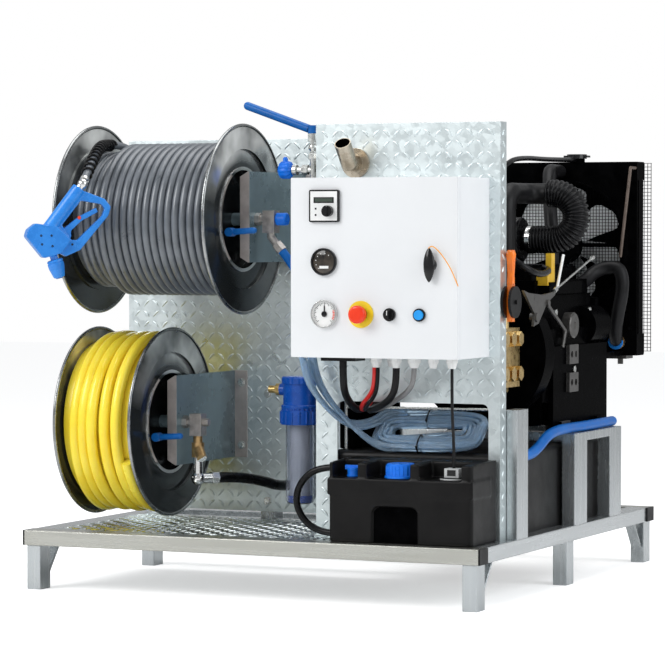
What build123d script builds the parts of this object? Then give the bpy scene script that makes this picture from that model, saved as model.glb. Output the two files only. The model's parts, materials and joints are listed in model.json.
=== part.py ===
from build123d import *
import math
import os

# Places are given as (left of the right end, behind the front face, above the floor), in mm.

# Skid base
BASE_WIDTH = 1140.0
BASE_DEPTH = 1206.0
CONTROL_OVERHANG = 20.0
DECK_TOP = 138.0
RAIL_HEIGHT = 35.0
RAIL_WIDTH = 50.0
TUBE_WALL = 3.0
CAP_SHEET = 4.0
CAP_PLUG = 15.0
CAP_FIT = 0.3
DECK_SHEET = 3.0
DECK_DEPTH = 507.0
LEG_WIDTH = 34.0
LEG_DEPTH = 48.0
LEG_INSET = 5.0
MID_LEG = 606.0
FOOT_SHEET = 4.0
STRAP_WIDTH = 25.0
STRAP_RISE = 7.0
STRAP_RUN = 62.0
STRAP_FOOT = 28.0

# Upright panels of tread plate
PANEL_SHEET = 3.0
CONTROL_PANEL_FRONT = 200.0
CONTROL_PANEL_RIGHT = 30.0
CONTROL_PANEL_WIDTH = 452.0
CONTROL_PANEL_TOP = 1077.0
FLANGE_DEPTH = 34.0
WINDOW_RIGHT = 58.0
WINDOW_WIDTH = 370.0
WINDOW_TOP = 444.0
WINDOW_CORNER = 15.0
REEL_PANEL_FRONT = 505.0
REEL_PANEL_RIGHT = 520.0
REEL_PANEL_WIDTH = 605.0
REEL_PANEL_BOTTOM = 155.0
REEL_PANEL_TOP = 1054.0
UPRIGHT_SIDE = 40.0
UPRIGHT_PLACES = (748.0, 1060.0)
UPRIGHT_DROP = 4.0
BOLT_ROWS = (180.0, 440.0, 700.0, 1000.0)
BOLT_RADIUS = 7.5
BOLT_HEIGHT = 5.5
WASHER_RADIUS = 10.0
WASHER_SHEET = 1.6

# Frame over the water tank: (front edge, depth, top) of each right-hand post
POST_THICK = 32.0
POSTS = ((240.0, 69.0, 430.0), (624.0, 87.0, 355.0), (878.0, 83.0, 355.0))
LEFT_POST_RIGHT = 460.0
BAR_HEIGHT = 20.0
BAR_WIDTH = 50.0
TANK_GAP = 7.0
TANK_WIDTH = 405.0
TANK_FRONT = 212.0
TANK_DEPTH = 740.0
TANK_TOP = 332.0
TANK_CORNER = 16.0

# Front tank
WELL_TANK_RIGHT = 34.0
WELL_TANK_WIDTH = 345.0
WELL_TANK_FRONT = 38.0
WELL_TANK_DEPTH = 157.0
WELL_FLOOR = 282.0
RIDGE_TOP = 320.0
RIDGE_FRONT = 115.0
WELLS = ((60.0, 160.0), (182.0, 286.0), (308.0, 369.0))
DIVIDER_FRONT_TOP = 316.0
RECESS_SPAN = (163.0, 274.0)
RECESS_TOP = 221.0
RECESS_DEPTH = 8.0
RECESS_CORNER = 18.0
WELL_TANK_CORNER = 10.0
WELL_LINE = 77.0
CAP_PLACE = 219.0
CAP_RADIUS = 34.0
CAP_HEIGHT = 32.0
CAP_TOP_SHEET = 14.0
CAP_RIBS = 24
NECK_RADIUS = 26.0
TAP_PLACE = 333.0
TAP_RADIUS = 15.0
TAP_BASE = 14.0
TAP_HANDLE = (40.0, 9.0, 12.0)
SENDER_PLACE = 92.0
SENDER_RADIUS = 30.0
SENDER_FLANGE = 6.0
SENDER_BOX = (34.0, 30.0, 20.0)

# Control cabinet
CABINET_RIGHT = 56.0
CABINET_SIDE = 400.0
CABINET_BOTTOM = 551.0
CABINET_SHEET = 2.0
DOOR_FRONT = 6.0
DOOR_DEPTH = 15.5
DOOR_GAP = 0.5
GEAR_PLATE_SIDE = 330.0
GEAR_PLATE_SHEET = 2.0
GEAR_STANDOFF = 6.0
GEAR_DEPTH = 70.0

# Door controls: (left of the right end, height)
DISPLAY_PLACE = (372.5, 888.0)
DISPLAY_SIDE = 72.0
DISPLAY_DEPTH = 7.0
DISPLAY_BODY = 66.0
KNOB_OFFSET = (-11.5, -11.5)
KNOB_RADIUS = 12.5
KNOB_HEIGHT = 11.0
METER_PLACE = (374.0, 764.0)
METER_RADIUS = 30.5
GAUGE_PLACE = (373.0, 648.0)
GAUGE_RADIUS = 31.5
BEZEL_HEIGHT = 7.0
BEZEL_RIM = 4.0
DIAL_DEPTH = 5.0
BODY_INSET = 4.0
BODY_DEPTH = 45.0
POINTER_LENGTH = 19.0
POINTER_WIDTH = 2.4
POINTER_SHEET = 1.0
STOP_PLACE = (285.0, 648.0)
STOP_DISC_RADIUS = 30.0
STOP_DISC_SHEET = 3.0
STOP_COLLAR_RADIUS = 16.0
STOP_COLLAR_HEIGHT = 6.0
STOP_HEAD_RADIUS = 20.0
STOP_HEAD_HEIGHT = 15.0
STOP_TRAVEL = 5.0
SELECTOR_PLACE = (216.0, 648.0)
BUTTON_PLACE = (145.0, 648.0)
SWITCH_RADIUS = 14.5
SWITCH_BORE = 11.2
SWITCH_BEZEL = 5.0
SWITCH_PLAY = 0.3
SELECTOR_GRIP = (8.0, 10.0)
BUTTON_PROUD = 4.0
BUTTON_TRAVEL = 3.0
STEM_RADIUS = 3.0
STEM_LENGTH = 12.0
RUN_FIT = 0.05
LATCH_PLACE = (118.0, 758.0)
LATCH_BOSS = 14.0
LATCH_WING = (26.0, 76.0)
LATCH_HEIGHT = 18.0

# Cable entries under the cabinet: (place, behind front, radius)
ENTRY_PLATE = (83.0, 60.0, 10.0)
ENTRY_PLACE = 370.0
GLAND_LINE = 100.0
GLAND_HEIGHT = 24.0
GLANDS = ((289.0, 100.0, 14.0), (268.0, 140.0, 12.0), (236.0, 90.0, 13.0), (197.0, 100.0, 16.0),
          (151.0, 100.0, 13.0), (106.0, 100.0, 14.0))
CONDUIT_MOUTH = (362.0, 285.0, 490.0)
CONDUIT_RADIUS = 25.0
CABLE_DIP = 423.0
THICK_CABLE = 5.5
GREY_CABLE = 4.0
THIN_CABLE = 3.0

# Hose reels: axis height, right disc and left disc (outer faces)
REEL_LINE = 225.0
PRESSURE_AXIS = 860.0
WATER_AXIS = 385.0
PRESSURE_DISC = 681.0
WATER_DISC = 870.0
LEFT_DISC = 1055.0
DISC_RADIUS = 218.0
DISC_SHEET = 3.0
DISC_STEP_RADIUS = 166.0
DISC_STEP = 6.0
BEAD_RADIUS = 4.0
DRUM_RADIUS = 122.0
DRUM_WALL = 4.0
HUB_RECESS = 22.0
HUB_SHEET = 4.0
HUB_BOSS_RADIUS = 27.0
HUB_BOSS_LENGTH = 24.0
HUB_SCREWS = 6
HUB_SCREW_CIRCLE = 86.0
HUB_SCREW_RADIUS = 7.0
AXLE_RADIUS = 15.0
BRACKET_GAP = 32.0
BRACKET_SHEET = 4.0
BRACKET_HEIGHT = 210.0
BRACKET_RISE = 5.0
BRACKET_FRONT = 38.0
FRONT_FLANGE = 20.0
BACK_FLANGE = 32.0
FLANGE_CHAMFER = 12.0
BRAKE_FORWARD = 108.0
BRAKE_DROP = 30.0
BRAKE_HUB = 10.0
BRAKE_HUB_LENGTH = 24.0
BRAKE_STUD = 4.0
BRAKE_ARM = 62.0
BRAKE_ARM_RADIUS = 7.0
SWIVEL_HEX = 15.0
SWIVEL_NIPPLE = 9.0
SWIVEL_BLOCK = (30.0, 30.0, 52.0)
ELBOW_HEIGHT = 253.0
ELBOW_WAY = Vector(0.6, 0.8, 0)
ELBOW_REACH = 52.0
STRAINER_RADIUS = 15.0
NIPPLE_WAY = Vector(0.66, 0, -0.75)
NIPPLE_REACH = 44.0

# Loose hoses
HOSE_HOLE = (688.0, 220.0)
INLET_HOSE_RADIUS = 12.5
TANK_HOSE_RADIUS = 8.0
COOLANT_HOSE_RADIUS = 17.0
PUMP_HOSE_RADIUS = 10.0
LINE_HOSE_RADIUS = 12.0

# Hoses on the reels
PRESSURE_HOSE = 18.0
PRESSURE_PITCH = 19.0
PRESSURE_TURNS = 14.75
PRESSURE_LAYER_RADIUS = 169.0
PRESSURE_END_PLACE = 975.0
PRESSURE_END_SHIFT = 32.0
PRESSURE_END_RISE = 5.0
UNDER_TURNS = 4.0
UNDER_PITCH = 18.5
UNDER_END_PLACE = 1040.0
LAYER_GAP = 0.5
WATER_HOSE = 26.0
WATER_PITCH = 27.0
WATER_TURNS = 5.5
WATER_LAYER_RADIUS = 201.0

# Spray gun, its guard and its hose tail
GUN_INLET = (972.0, -30.0, 930.0)
GUN_TURN = 40.0
HANDLE_END = (-70.0, -92.0)
HANDLE_RADIUS = 16.5
HEAD_HALF = 17.0
GUARD_HALF = 9.0
TRIGGER_HALF = 6.0
TRIGGER_PIVOT = (-29.0, -108.0)
TRIGGER_BOSS = 9.0
TRIGGER_THROW = 8.0
TRIGGER_PLAY = 0.6
COLLAR_TOP = (-60.0, -156.0)
COLLAR_END = (-46.0, -205.0)
COLLAR_WIDE = 19.0
COLLAR_NARROW = 14.0
COLLAR_TRAVEL = 6.0
BARREL_RADIUS = 9.0
OUTLET_RADIUS = 5.0
OUTLET_DEPTH = 25.0
COUPLING_RADIUS = 9.5
COUPLING_LENGTHS = (13.0, 18.0)
COUPLING_BALL = 12.0
GUARD_WIRE = 4.5
GUARD_GAP = 0.5
GUARD_TURNS = 14

# Bypass valve beside the control panel
VALVE_PLACE = (496.0, 215.0)
VALVE_FOOT = 880.0
VALVE_TOP = 1056.0
VALVE_TUBE = 7.5
VALVE_BODY = 12.0
VALVE_STEM = 5.0
LEVER_HUB = 12.0
LEVER_HUB_HEIGHT = 16.0
LEVER_TIP = (662.0, 1122.0)
LEVER_RADIUS = 9.5
BRANCH_HEIGHT = 973.0
BRANCH_END = 546.0
DIAL_KNOB_RADIUS = 14.0
DIAL_KNOB_LENGTH = 36.0

# Exhaust
EXHAUST_PLACE = (382.0, 987.0)
EXHAUST_RADIUS = 19.0
EXHAUST_WALL = 2.0
EXHAUST_CLEAR = 5.0
EXHAUST_KNEE = 160.0
EXHAUST_TIP = (-0.643, 0.766)
EXHAUST_TIP_LENGTH = 57.0
SILENCER_RADIUS = 52.0
SILENCER_SPAN = (240.0, 440.0)

# Water filter
FILTER_PLACE = (628.0, 430.0)
FILTER_HEAD_RADIUS = 42.0
FILTER_BOTTOM = 184.0
FILTER_JOINT = 373.0
FILTER_TOP = 486.0
BOWL_RADIUS = 34.0
BOWL_WALL = 3.0
CARTRIDGE_RADIUS = 24.0
FILTER_PORT = 455.0
PORT_RADIUS = 14.0

# Engine and pump
ENGINE_PLACE = 197.0
CRANK_HEIGHT = 545.0
BLOCK_SPAN = (560.0, 960.0)
BLOCK_WIDTH = 270.0
SUMP_BOTTOM = 372.0
SUMP_TOP = 430.0
BLOCK_TOP = 600.0
DECK_FACE = 680.0
HEAD_TOP = 716.0
ROCKER_TOP = 752.0
HOUSING_SPAN = (500.0, 560.0)
HOUSING_RADIUS = 165.0
GEAR_CASE = 25.0
PULLEY_RADIUS = 62.0
PULLEY_WIDTH = 22.0
CRANK_STUB = 14.0
ALTERNATOR_PLACE = (88.0, 602.0)
ALTERNATOR_RADIUS = 50.0
ALTERNATOR_PULLEY = 31.0
BELT_SHEET = 8.0
BELT_GAP = 0.6
MOUNT_RADIUS = 22.0
MOUNT_PLACES = (72.0, 322.0)
FOOT_PLATE = 12.0
PUMP_WIDTH = 190.0
PUMP_SPAN = (300.0, 440.0)
PUMP_HEIGHTS = (450.0, 640.0)
VALVE_CAPS = (325.0, 370.0, 415.0)
VALVE_CAP_ROWS = (505.0, 585.0)
VALVE_CAP_RADIUS = 17.0
THROTTLE_PLACE = (234.0, 673.0)
THROTTLE_DISC = 36.0
THROTTLE_SHEET = 6.0
THROTTLE_LEVER = 12.0
THROTTLE_REACH = 117.0
THROTTLE_PIN = 5.0
SIDE_PLAY = 0.3

# Air cleaner and its corrugated hose
CLEANER_PLACE = (840.0, 812.0)
CLEANER_SPAN = (215.0, 400.0)
CLEANER_RADIUS = 55.0
CLEANER_NECK = (190.0, 215.0)
CREST_RADIUS = 34.0
VALLEY_RADIUS = 29.5
AIR_BORE = 26.5
AIR_TURN_RADIUS = 56.0
AIR_TURN_PLACE = 135.0
AIR_HOSE_END = 152.0
AIR_RIBS = 22
INTAKE_RADIUS = 25.0
INTAKE_CORNERS = (205.0, 690.0)
INTAKE_BEND = 44.0

# Radiator
RADIATOR_SPAN = (15.0, 440.0)
RADIATOR_FRONT = 1125.0
RADIATOR_BACK = 1160.0
RADIATOR_HEIGHTS = (522.0, 576.0, 960.0, 1006.0)
RADIATOR_LIP = 10.0
SHROUD_SHEET = 4.0
FAN_PLACE = (197.0, 798.0)
SHROUD_RADIUS = 157.0
SHROUD_DEPTH = 28.0
FAN_RADIUS = 150.0
FAN_HUB = 42.0
FAN_BLADES = 7
FAN_BLADE = (58.0, 3.0, 24.0)
FAN_SPAN = (1097.0, 1115.0)
MOTOR_SPAN = (1052.0, 1092.0)
MOTOR_RADIUS = 46.0
MOTOR_ARM = (10.0, 8.0)
FILLER_PLACE = (185.0, 1142.0)
FILLER_RADIUS = 20.0
FILLER_HEIGHT = 9.0
FILLER_CAP = 25.0
FILLER_CAP_HEIGHT = 11.0
GUARD_FRONT = 1190.0
GUARD_SHEET = 2.5
GUARD_SPAN = (4.0, 436.0)
GUARD_HEIGHTS = (530.0, 1004.0)
GUARD_GRID = (16, 18)
GUARD_BAR = 3.5
GUARD_SPACER = 5.0
FAN_GUARD_FRONT = 1078.0
FAN_GUARD_SPAN = (30.0, 425.0)
FAN_GUARD_HEIGHTS = (590.0, 958.0)
FAN_GUARD_GRID = (20, 18)
FAN_GUARD_BAR = 2.5
FAN_GUARD_CLEAR = 4.0
STAY_TOP = (20.0, 990.0)
STAY_FOOT = (46.0, 768.0)
STAY_RADIUS = 4.0

# Clear hose tied in a hank behind the window
CLEAR_HOSE = 9.0
HANK_MIDDLE = (225.0, 262.0, 372.0)
HANK_LEAN = 41.0
HANK_RUN = 150.0
HANK_REACH = 52.0
HANK_PITCH = 10.0

RIGHT = BASE_WIDTH / 2
FRONT = (CONTROL_OVERHANG - BASE_DEPTH) / 2
RAIL_BOTTOM = DECK_TOP - RAIL_HEIGHT
CABINET_BACK = CONTROL_PANEL_FRONT
SHELL_FRONT = DOOR_FRONT + DOOR_DEPTH + DOOR_GAP


def spot(x, y, z):
    """Point at a distance left of the right end, behind the front face and above the floor."""
    return Vector(RIGHT - x, FRONT + y, z)


def around(middle, width):
    return (middle - width / 2, middle + width / 2)


def block(x, y, z):
    low = spot(x[1], y[0], z[0])
    size = spot(x[0], y[1], z[1]) - low
    return Pos(low + size * 0.5) * Box(size.X, size.Y, size.Z)


def tube(x, y, z, along):
    """Rectangular tube, open at both ends along one axis."""
    inner = []
    for name, pair in (("x", x), ("y", y), ("z", z)):
        margin = 0 if name == along else TUBE_WALL
        inner.append((pair[0] + margin, pair[1] - margin))
    return block(x, y, z) - block(*inner)


def rod(start, end, radius, tip=None):
    """Round bar between two points; tapered when a tip radius is given."""
    start = Vector(*start)
    reach = Vector(*end) - start
    low = (Align.CENTER, Align.CENTER, Align.MIN)
    if tip is None:
        solid = Cylinder(radius, reach.length, align=low)
    else:
        solid = Cone(radius, tip, reach.length, align=low)
    return Plane(origin=start, z_dir=reach) * solid


def bar_x(x, y, z, radius):
    return rod(spot(x[1], y, z), spot(x[0], y, z), radius)


def bar_y(x, y, z, radius):
    return rod(spot(x, y[0], z), spot(x, y[1], z), radius)


def bar_z(x, y, z, radius):
    return rod(spot(x, y, z[0]), spot(x, y, z[1]), radius)


def ring_x(x, y, z, inner, outer):
    return bar_x(x, y, z, outer) - bar_x(x, y, z, inner)


def ring_y(x, y, z, inner, outer):
    return bar_y(x, y, z, outer) - bar_y(x, y, z, inner)


def hexagon(start, end, radius):
    start = Vector(*start)
    reach = Vector(*end) - start
    face = Plane(origin=start, z_dir=reach) * RegularPolygon(radius, 6)
    return extrude(face, reach.length, dir=reach)


def sheet_yz(points, x):
    """Flat shape drawn behind the front face and above the floor, as thick as the span x."""
    plane = Plane(origin=(RIGHT - x[1], FRONT, 0), x_dir=(0, 1, 0), z_dir=(1, 0, 0))
    return extrude(plane * Polygon(*points, align=None), x[1] - x[0], dir=(1, 0, 0))


def rounded_window(x, y, top, bottom, corner):
    """Opening with two rounded upper corners, as a solid to cut away."""
    opening = block(x, y, (bottom, top - corner))
    opening += block((x[0] + corner, x[1] - corner), y, (bottom, top))
    for side in (x[0] + corner, x[1] - corner):
        opening += bar_y(side, y, top - corner, corner)
    return opening


def bend_radii(points):
    """Largest bends that leave a straight piece on every run."""
    radii = []
    for before, here, after in zip(points, points[1:], points[2:]):
        into = here - before
        out = after - here
        half_turn = math.radians(into.get_angle(out)) / 2
        radii.append(0.45 * min(into.length, out.length) / math.tan(half_turn))
    return radii


def swept_tube(path, radius):
    section = Plane(origin=path @ 0, z_dir=path % 0) * Circle(radius)
    return sweep(section, path=path)


def cord_path(points):
    return FilletPolyline(*points, radius=bend_radii(points))


def cord(places, radius, name):
    """Tube of straight runs joined by tangent bends."""
    points = [spot(*place) for place in places]
    radii = bend_radii(points)
    path = cord_path(points)
    solid = swept_tube(path, radius)
    whole = math.pi * radius ** 2 * path.length
    tightest = min(radii) / (2 * radius)
    print(f"{name}: least bend {tightest:.1f} diameters, volume ratio {solid.volume / whole:.4f}")
    return solid


def arc_pair(start, start_way, end, end_way):
    """Two tangent arcs, or one line, from a point and direction to another."""
    gap = end - start
    if start_way.cross(gap).length < 1e-6 * gap.length and end_way.cross(gap).length < 1e-6 * gap.length:
        return [Line(start, end)]
    both = start_way + end_way
    bend = 2 * (1 - start_way.dot(end_way))
    along = gap.dot(both)
    if bend < 1e-9:
        reach = gap.dot(gap) / (4 * gap.dot(end_way))
    else:
        reach = (math.sqrt(along ** 2 + bend * gap.dot(gap)) - along) / bend
    first = start + start_way * reach
    second = end - end_way * reach
    joint = (first + second) * 0.5
    return [TangentArc(start, joint, tangent=start_way), TangentArc(joint, end, tangent=second - first)]


def arc_path(stations):
    edges = []
    for (start, start_way), (end, end_way) in zip(stations, stations[1:]):
        edges += arc_pair(start, start_way, end, end_way)
    return Wire(edges)


def stations_on(curve, first, last, steps):
    """Points and directions on a curve given by a formula of one angle."""
    tiny = 1e-4
    stations = []
    for step in range(steps + 1):
        angle = first + (last - first) * step / steps
        way = (curve(angle + tiny) - curve(angle - tiny)).normalized()
        stations.append((curve(angle), way))
    return stations


def with_ends(stations, length):
    """Run both ends straight on for a short length."""
    start, start_way = stations[0]
    end, end_way = stations[-1]
    head = [(start - start_way * length, start_way)]
    return head + stations + [(end + end_way * length, end_way)]


def least_gap(curve, first, last, diameter, name):
    """Smallest space between a winding and itself, half a turn or more apart."""
    step = math.radians(12)
    count = int((last - first) / step)
    points = [curve(first + step * number) for number in range(count + 1)]
    apart = int(math.pi / step)
    least = min((points[i] - points[j]).length
                for i in range(len(points)) for j in range(i + apart, len(points)))
    print(f"{name}: least gap to itself {least - diameter:.2f} mm")


def side_rails():
    """Spans of the right and left side rails, left of the right end."""
    near = (CAP_SHEET, CAP_SHEET + RAIL_WIDTH)
    return [near, (BASE_WIDTH - near[1], BASE_WIDTH - near[0])]


def between_rails():
    right, left = side_rails()
    return (right[1], left[0])


def cross_members():
    """Front edge and top of each cross member."""
    under_deck = DECK_TOP - DECK_SHEET
    rows = [(CONTROL_PANEL_FRONT - RAIL_WIDTH / 5, under_deck)]
    rows.append((DECK_DEPTH - RAIL_WIDTH / 5, under_deck))
    for front, depth, top in POSTS[1:]:
        rows.append((front + (depth - RAIL_WIDTH) / 2, DECK_TOP))
    return rows


def base_rails():
    height = (RAIL_BOTTOM, DECK_TOP)
    across = (CAP_SHEET, BASE_WIDTH - CAP_SHEET)
    rails = [tube(across, (0, RAIL_WIDTH), height, "x")]
    rails.append(tube(across, (BASE_DEPTH - RAIL_WIDTH, BASE_DEPTH), height, "x"))
    for x in side_rails():
        rails.append(tube(x, (RAIL_WIDTH, BASE_DEPTH - RAIL_WIDTH), height, "y"))
    for front, top in cross_members():
        rails.append(tube(between_rails(), (front, front + RAIL_WIDTH), (RAIL_BOTTOM, top), "x"))
    return Compound(rails)


def rail_end_caps():
    """Black plugs in the open ends of the front and rear rails."""
    caps = []
    inset = TUBE_WALL + CAP_FIT
    for y in ((0, RAIL_WIDTH), (BASE_DEPTH - RAIL_WIDTH, BASE_DEPTH)):
        inner = ((y[0] + inset, y[1] - inset), (RAIL_BOTTOM + inset, DECK_TOP - inset))
        for x, plug in (((0, CAP_SHEET), (CAP_SHEET, CAP_SHEET + CAP_PLUG)),
                        ((BASE_WIDTH - CAP_SHEET, BASE_WIDTH),
                         (BASE_WIDTH - CAP_SHEET - CAP_PLUG, BASE_WIDTH - CAP_SHEET))):
            caps.append(block(x, y, (RAIL_BOTTOM, DECK_TOP)) + block(plug, *inner))
    return Compound(caps)


def leg(x, y, strap_way):
    """Hollow leg on a closed foot; front and rear ones carry a strap up to the rail."""
    solid = block(x, y, (0, RAIL_BOTTOM))
    hollow = ((x[0] + TUBE_WALL, x[1] - TUBE_WALL), (y[0] + TUBE_WALL, y[1] - TUBE_WALL))
    solid -= block(*hollow, (FOOT_SHEET, RAIL_BOTTOM))
    if strap_way:
        start = y[1] if strap_way > 0 else y[0]
        rise = RAIL_BOTTOM - STRAP_FOOT
        lap = STRAP_RISE * STRAP_RUN / rise
        end = start + strap_way * STRAP_RUN
        points = [(start, STRAP_FOOT), (end, RAIL_BOTTOM), (end - strap_way * lap, RAIL_BOTTOM),
                  (start, STRAP_FOOT + STRAP_RISE)]
        solid += sheet_yz(points, around(sum(x) / 2, STRAP_WIDTH))
    return solid


def legs():
    rows = (((LEG_INSET, LEG_INSET + LEG_DEPTH), 1), (around(MID_LEG, LEG_DEPTH), 0),
            ((BASE_DEPTH - LEG_INSET - LEG_DEPTH, BASE_DEPTH - LEG_INSET), -1))
    near = CAP_SHEET + LEG_INSET
    sides = ((near, near + LEG_WIDTH), (BASE_WIDTH - near - LEG_WIDTH, BASE_WIDTH - near))
    return Compound([leg(x, y, way) for x in sides for y, way in rows])


def deck_plate():
    return block(between_rails(), (RAIL_WIDTH, DECK_DEPTH), (DECK_TOP - DECK_SHEET, DECK_TOP))


def control_panel():
    """Tread-plate panel with a window, an exhaust hole, a flange and the throttle's discs on it."""
    x = (CONTROL_PANEL_RIGHT, CONTROL_PANEL_RIGHT + CONTROL_PANEL_WIDTH)
    y = (CONTROL_PANEL_FRONT, CONTROL_PANEL_FRONT + PANEL_SHEET)
    panel = block(x, y, (DECK_TOP, CONTROL_PANEL_TOP))
    window = (WINDOW_RIGHT, WINDOW_RIGHT + WINDOW_WIDTH)
    panel -= rounded_window(window, y, WINDOW_TOP, DECK_TOP, WINDOW_CORNER)
    panel -= bar_y(EXHAUST_PLACE[0], y, EXHAUST_PLACE[1], EXHAUST_RADIUS + EXHAUST_CLEAR)
    flange = (x[0], x[0] + PANEL_SHEET)
    panel += block(flange, (y[1], y[1] + FLANGE_DEPTH), (DECK_TOP, CONTROL_PANEL_TOP))
    return Compound([panel, throttle_mount()])


def reel_panel():
    x = (REEL_PANEL_RIGHT, REEL_PANEL_RIGHT + REEL_PANEL_WIDTH)
    y = (REEL_PANEL_FRONT, REEL_PANEL_FRONT + PANEL_SHEET)
    panel = block(x, y, (REEL_PANEL_BOTTOM, REEL_PANEL_TOP))
    return panel - bar_y(HOSE_HOLE[0], y, HOSE_HOLE[1], INLET_HOSE_RADIUS + 2 * RUN_FIT)


def panel_posts():
    """Two hollow uprights behind the reel panel."""
    back = REEL_PANEL_FRONT + PANEL_SHEET
    foot = DECK_TOP - DECK_SHEET
    posts = []
    for place in UPRIGHT_PLACES:
        posts.append(tube(around(place, UPRIGHT_SIDE), (back, back + UPRIGHT_SIDE),
                          (foot, REEL_PANEL_TOP - UPRIGHT_DROP), "z"))
    return posts


def bolt_head(place):
    """Hexagon head on a washer, standing forward from a face."""
    x, y, z = place
    washer = bar_y(x, (y - WASHER_SHEET, y), z, WASHER_RADIUS)
    seat = y - WASHER_SHEET
    return washer + hexagon(spot(x, seat, z), spot(x, seat - BOLT_HEIGHT, z), BOLT_RADIUS)


def bracket_web(disc):
    """Left-of-right-end place of the web's inner face, beside a reel's right disc."""
    return disc - BRACKET_GAP


def bracket_bolts():
    bolts = []
    for disc, axis in ((PRESSURE_DISC, PRESSURE_AXIS), (WATER_DISC, WATER_AXIS)):
        x = bracket_web(disc) - BRACKET_SHEET - BACK_FLANGE * 0.55
        for side in (-1, 1):
            z = axis + BRACKET_RISE + side * BRACKET_HEIGHT * 0.36
            bolts.append((x, REEL_PANEL_FRONT - BRACKET_SHEET, z))
    return bolts


def panel_bolts():
    places = [(x, REEL_PANEL_FRONT, z) for x in UPRIGHT_PLACES for z in BOLT_ROWS]
    return Compound([bolt_head(place) for place in places + bracket_bolts()])


def frame_posts():
    """Posts on the base and the bars that carry the engine over the tank."""
    post_x = (CAP_SHEET, CAP_SHEET + POST_THICK)
    left_x = (LEFT_POST_RIGHT, LEFT_POST_RIGHT + POST_THICK)
    front, depth, top = POSTS[0]
    frame = [block(post_x, (front, front + depth), (DECK_TOP, top))]
    for front, depth, top in POSTS[1:]:
        bar_span = around(front + depth / 2, BAR_WIDTH)
        frame.append(block((post_x[1], left_x[0]), bar_span, (top - BAR_HEIGHT, top)))
        for x in (post_x, left_x):
            frame.append(block(x, (front, front + depth), (DECK_TOP, top)))
    gap = (POSTS[1][0] + POSTS[1][1], POSTS[2][0])
    for x in (post_x, left_x):
        frame.append(block(x, gap, (POSTS[1][2] - BAR_HEIGHT, POSTS[1][2])))
    return Compound(frame + panel_posts())


def water_tank():
    right = CAP_SHEET + POST_THICK + TANK_GAP
    top = TANK_TOP
    solid = block((right, right + TANK_WIDTH), (TANK_FRONT, TANK_FRONT + TANK_DEPTH), (DECK_TOP, top))
    upright = solid.edges().filter_by(Axis.Z)
    rim = solid.faces().sort_by(Axis.Z)[-1].edges()
    return fillet(upright + rim, TANK_CORNER)


def well_tank():
    """Front tank: a ridge behind, three wells in front of it and an arched recess below."""
    x = (WELL_TANK_RIGHT, WELL_TANK_RIGHT + WELL_TANK_WIDTH)
    y = (WELL_TANK_FRONT, WELL_TANK_FRONT + WELL_TANK_DEPTH)
    solid = block(x, y, (DECK_TOP, RIDGE_TOP))
    solid = fillet(solid.edges().filter_by(Axis.Z), WELL_TANK_CORNER)
    for well in WELLS:
        solid -= block(well, (y[0], RIDGE_FRONT), (WELL_FLOOR, RIDGE_TOP))
    slope = [(y[0], DIVIDER_FRONT_TOP), (RIDGE_FRONT, RIDGE_TOP), (y[0], RIDGE_TOP)]
    solid -= sheet_yz(slope, x)
    recess = (y[0], y[0] + RECESS_DEPTH)
    solid -= rounded_window(RECESS_SPAN, recess, RECESS_TOP, DECK_TOP, RECESS_CORNER)
    neck_top = WELL_FLOOR + CAP_HEIGHT - CAP_TOP_SHEET
    solid += bar_z(CAP_PLACE, WELL_LINE, (WELL_FLOOR, neck_top), NECK_RADIUS)
    solid += bar_z(TAP_PLACE, WELL_LINE, (WELL_FLOOR, WELL_FLOOR + TAP_BASE), TAP_RADIUS - 2)
    stem_foot = WELL_FLOOR + TAP_BASE - STEM_LENGTH
    return solid - bar_z(TAP_PLACE, WELL_LINE, (stem_foot, WELL_FLOOR + TAP_BASE), STEM_RADIUS + RUN_FIT)


def tank_cap():
    """Screw cap over the filler neck with grip ribs round its side."""
    foot = WELL_FLOOR + SIDE_PLAY
    top = WELL_FLOOR + CAP_HEIGHT
    cap = bar_z(CAP_PLACE, WELL_LINE, (foot, top), CAP_RADIUS - 1.5)
    for number in range(CAP_RIBS):
        angle = 2 * math.pi * number / CAP_RIBS
        x = CAP_PLACE + (CAP_RADIUS - 1.5) * math.cos(angle)
        y = WELL_LINE + (CAP_RADIUS - 1.5) * math.sin(angle)
        cap += bar_z(x, y, (foot, top - 4), 1.5)
    neck_top = WELL_FLOOR + CAP_HEIGHT - CAP_TOP_SHEET + SIDE_PLAY
    return cap - bar_z(CAP_PLACE, WELL_LINE, (foot, neck_top), NECK_RADIUS + RUN_FIT)


def tank_tap():
    seat = WELL_FLOOR + TAP_BASE + SIDE_PLAY
    length, width, height = TAP_HANDLE
    tap = bar_z(TAP_PLACE, WELL_LINE, (seat, seat + height / 2), TAP_RADIUS)
    tap += block(around(TAP_PLACE, length), around(WELL_LINE, width), (seat + 2, seat + height))
    return tap + bar_z(TAP_PLACE, WELL_LINE, (seat - STEM_LENGTH, seat), STEM_RADIUS)


def level_sender():
    top = WELL_FLOOR + SENDER_FLANGE
    sender = bar_z(SENDER_PLACE, WELL_LINE, (WELL_FLOOR, top), SENDER_RADIUS)
    width, depth, height = SENDER_BOX
    return sender + block(around(SENDER_PLACE, width), around(WELL_LINE, depth), (top, top + height))


def cabinet_spans():
    return ((CABINET_RIGHT, CABINET_RIGHT + CABINET_SIDE), (CABINET_BOTTOM, CABINET_BOTTOM + CABINET_SIDE))


def cabinet_shell():
    x, z = cabinet_spans()
    shell = block(x, (SHELL_FRONT, CABINET_BACK), z)
    inner_x = (x[0] + CABINET_SHEET, x[1] - CABINET_SHEET)
    inner_z = (z[0] + CABINET_SHEET, z[1] - CABINET_SHEET)
    return shell - block(inner_x, (SHELL_FRONT, CABINET_BACK - CABINET_SHEET), inner_z)


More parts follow.
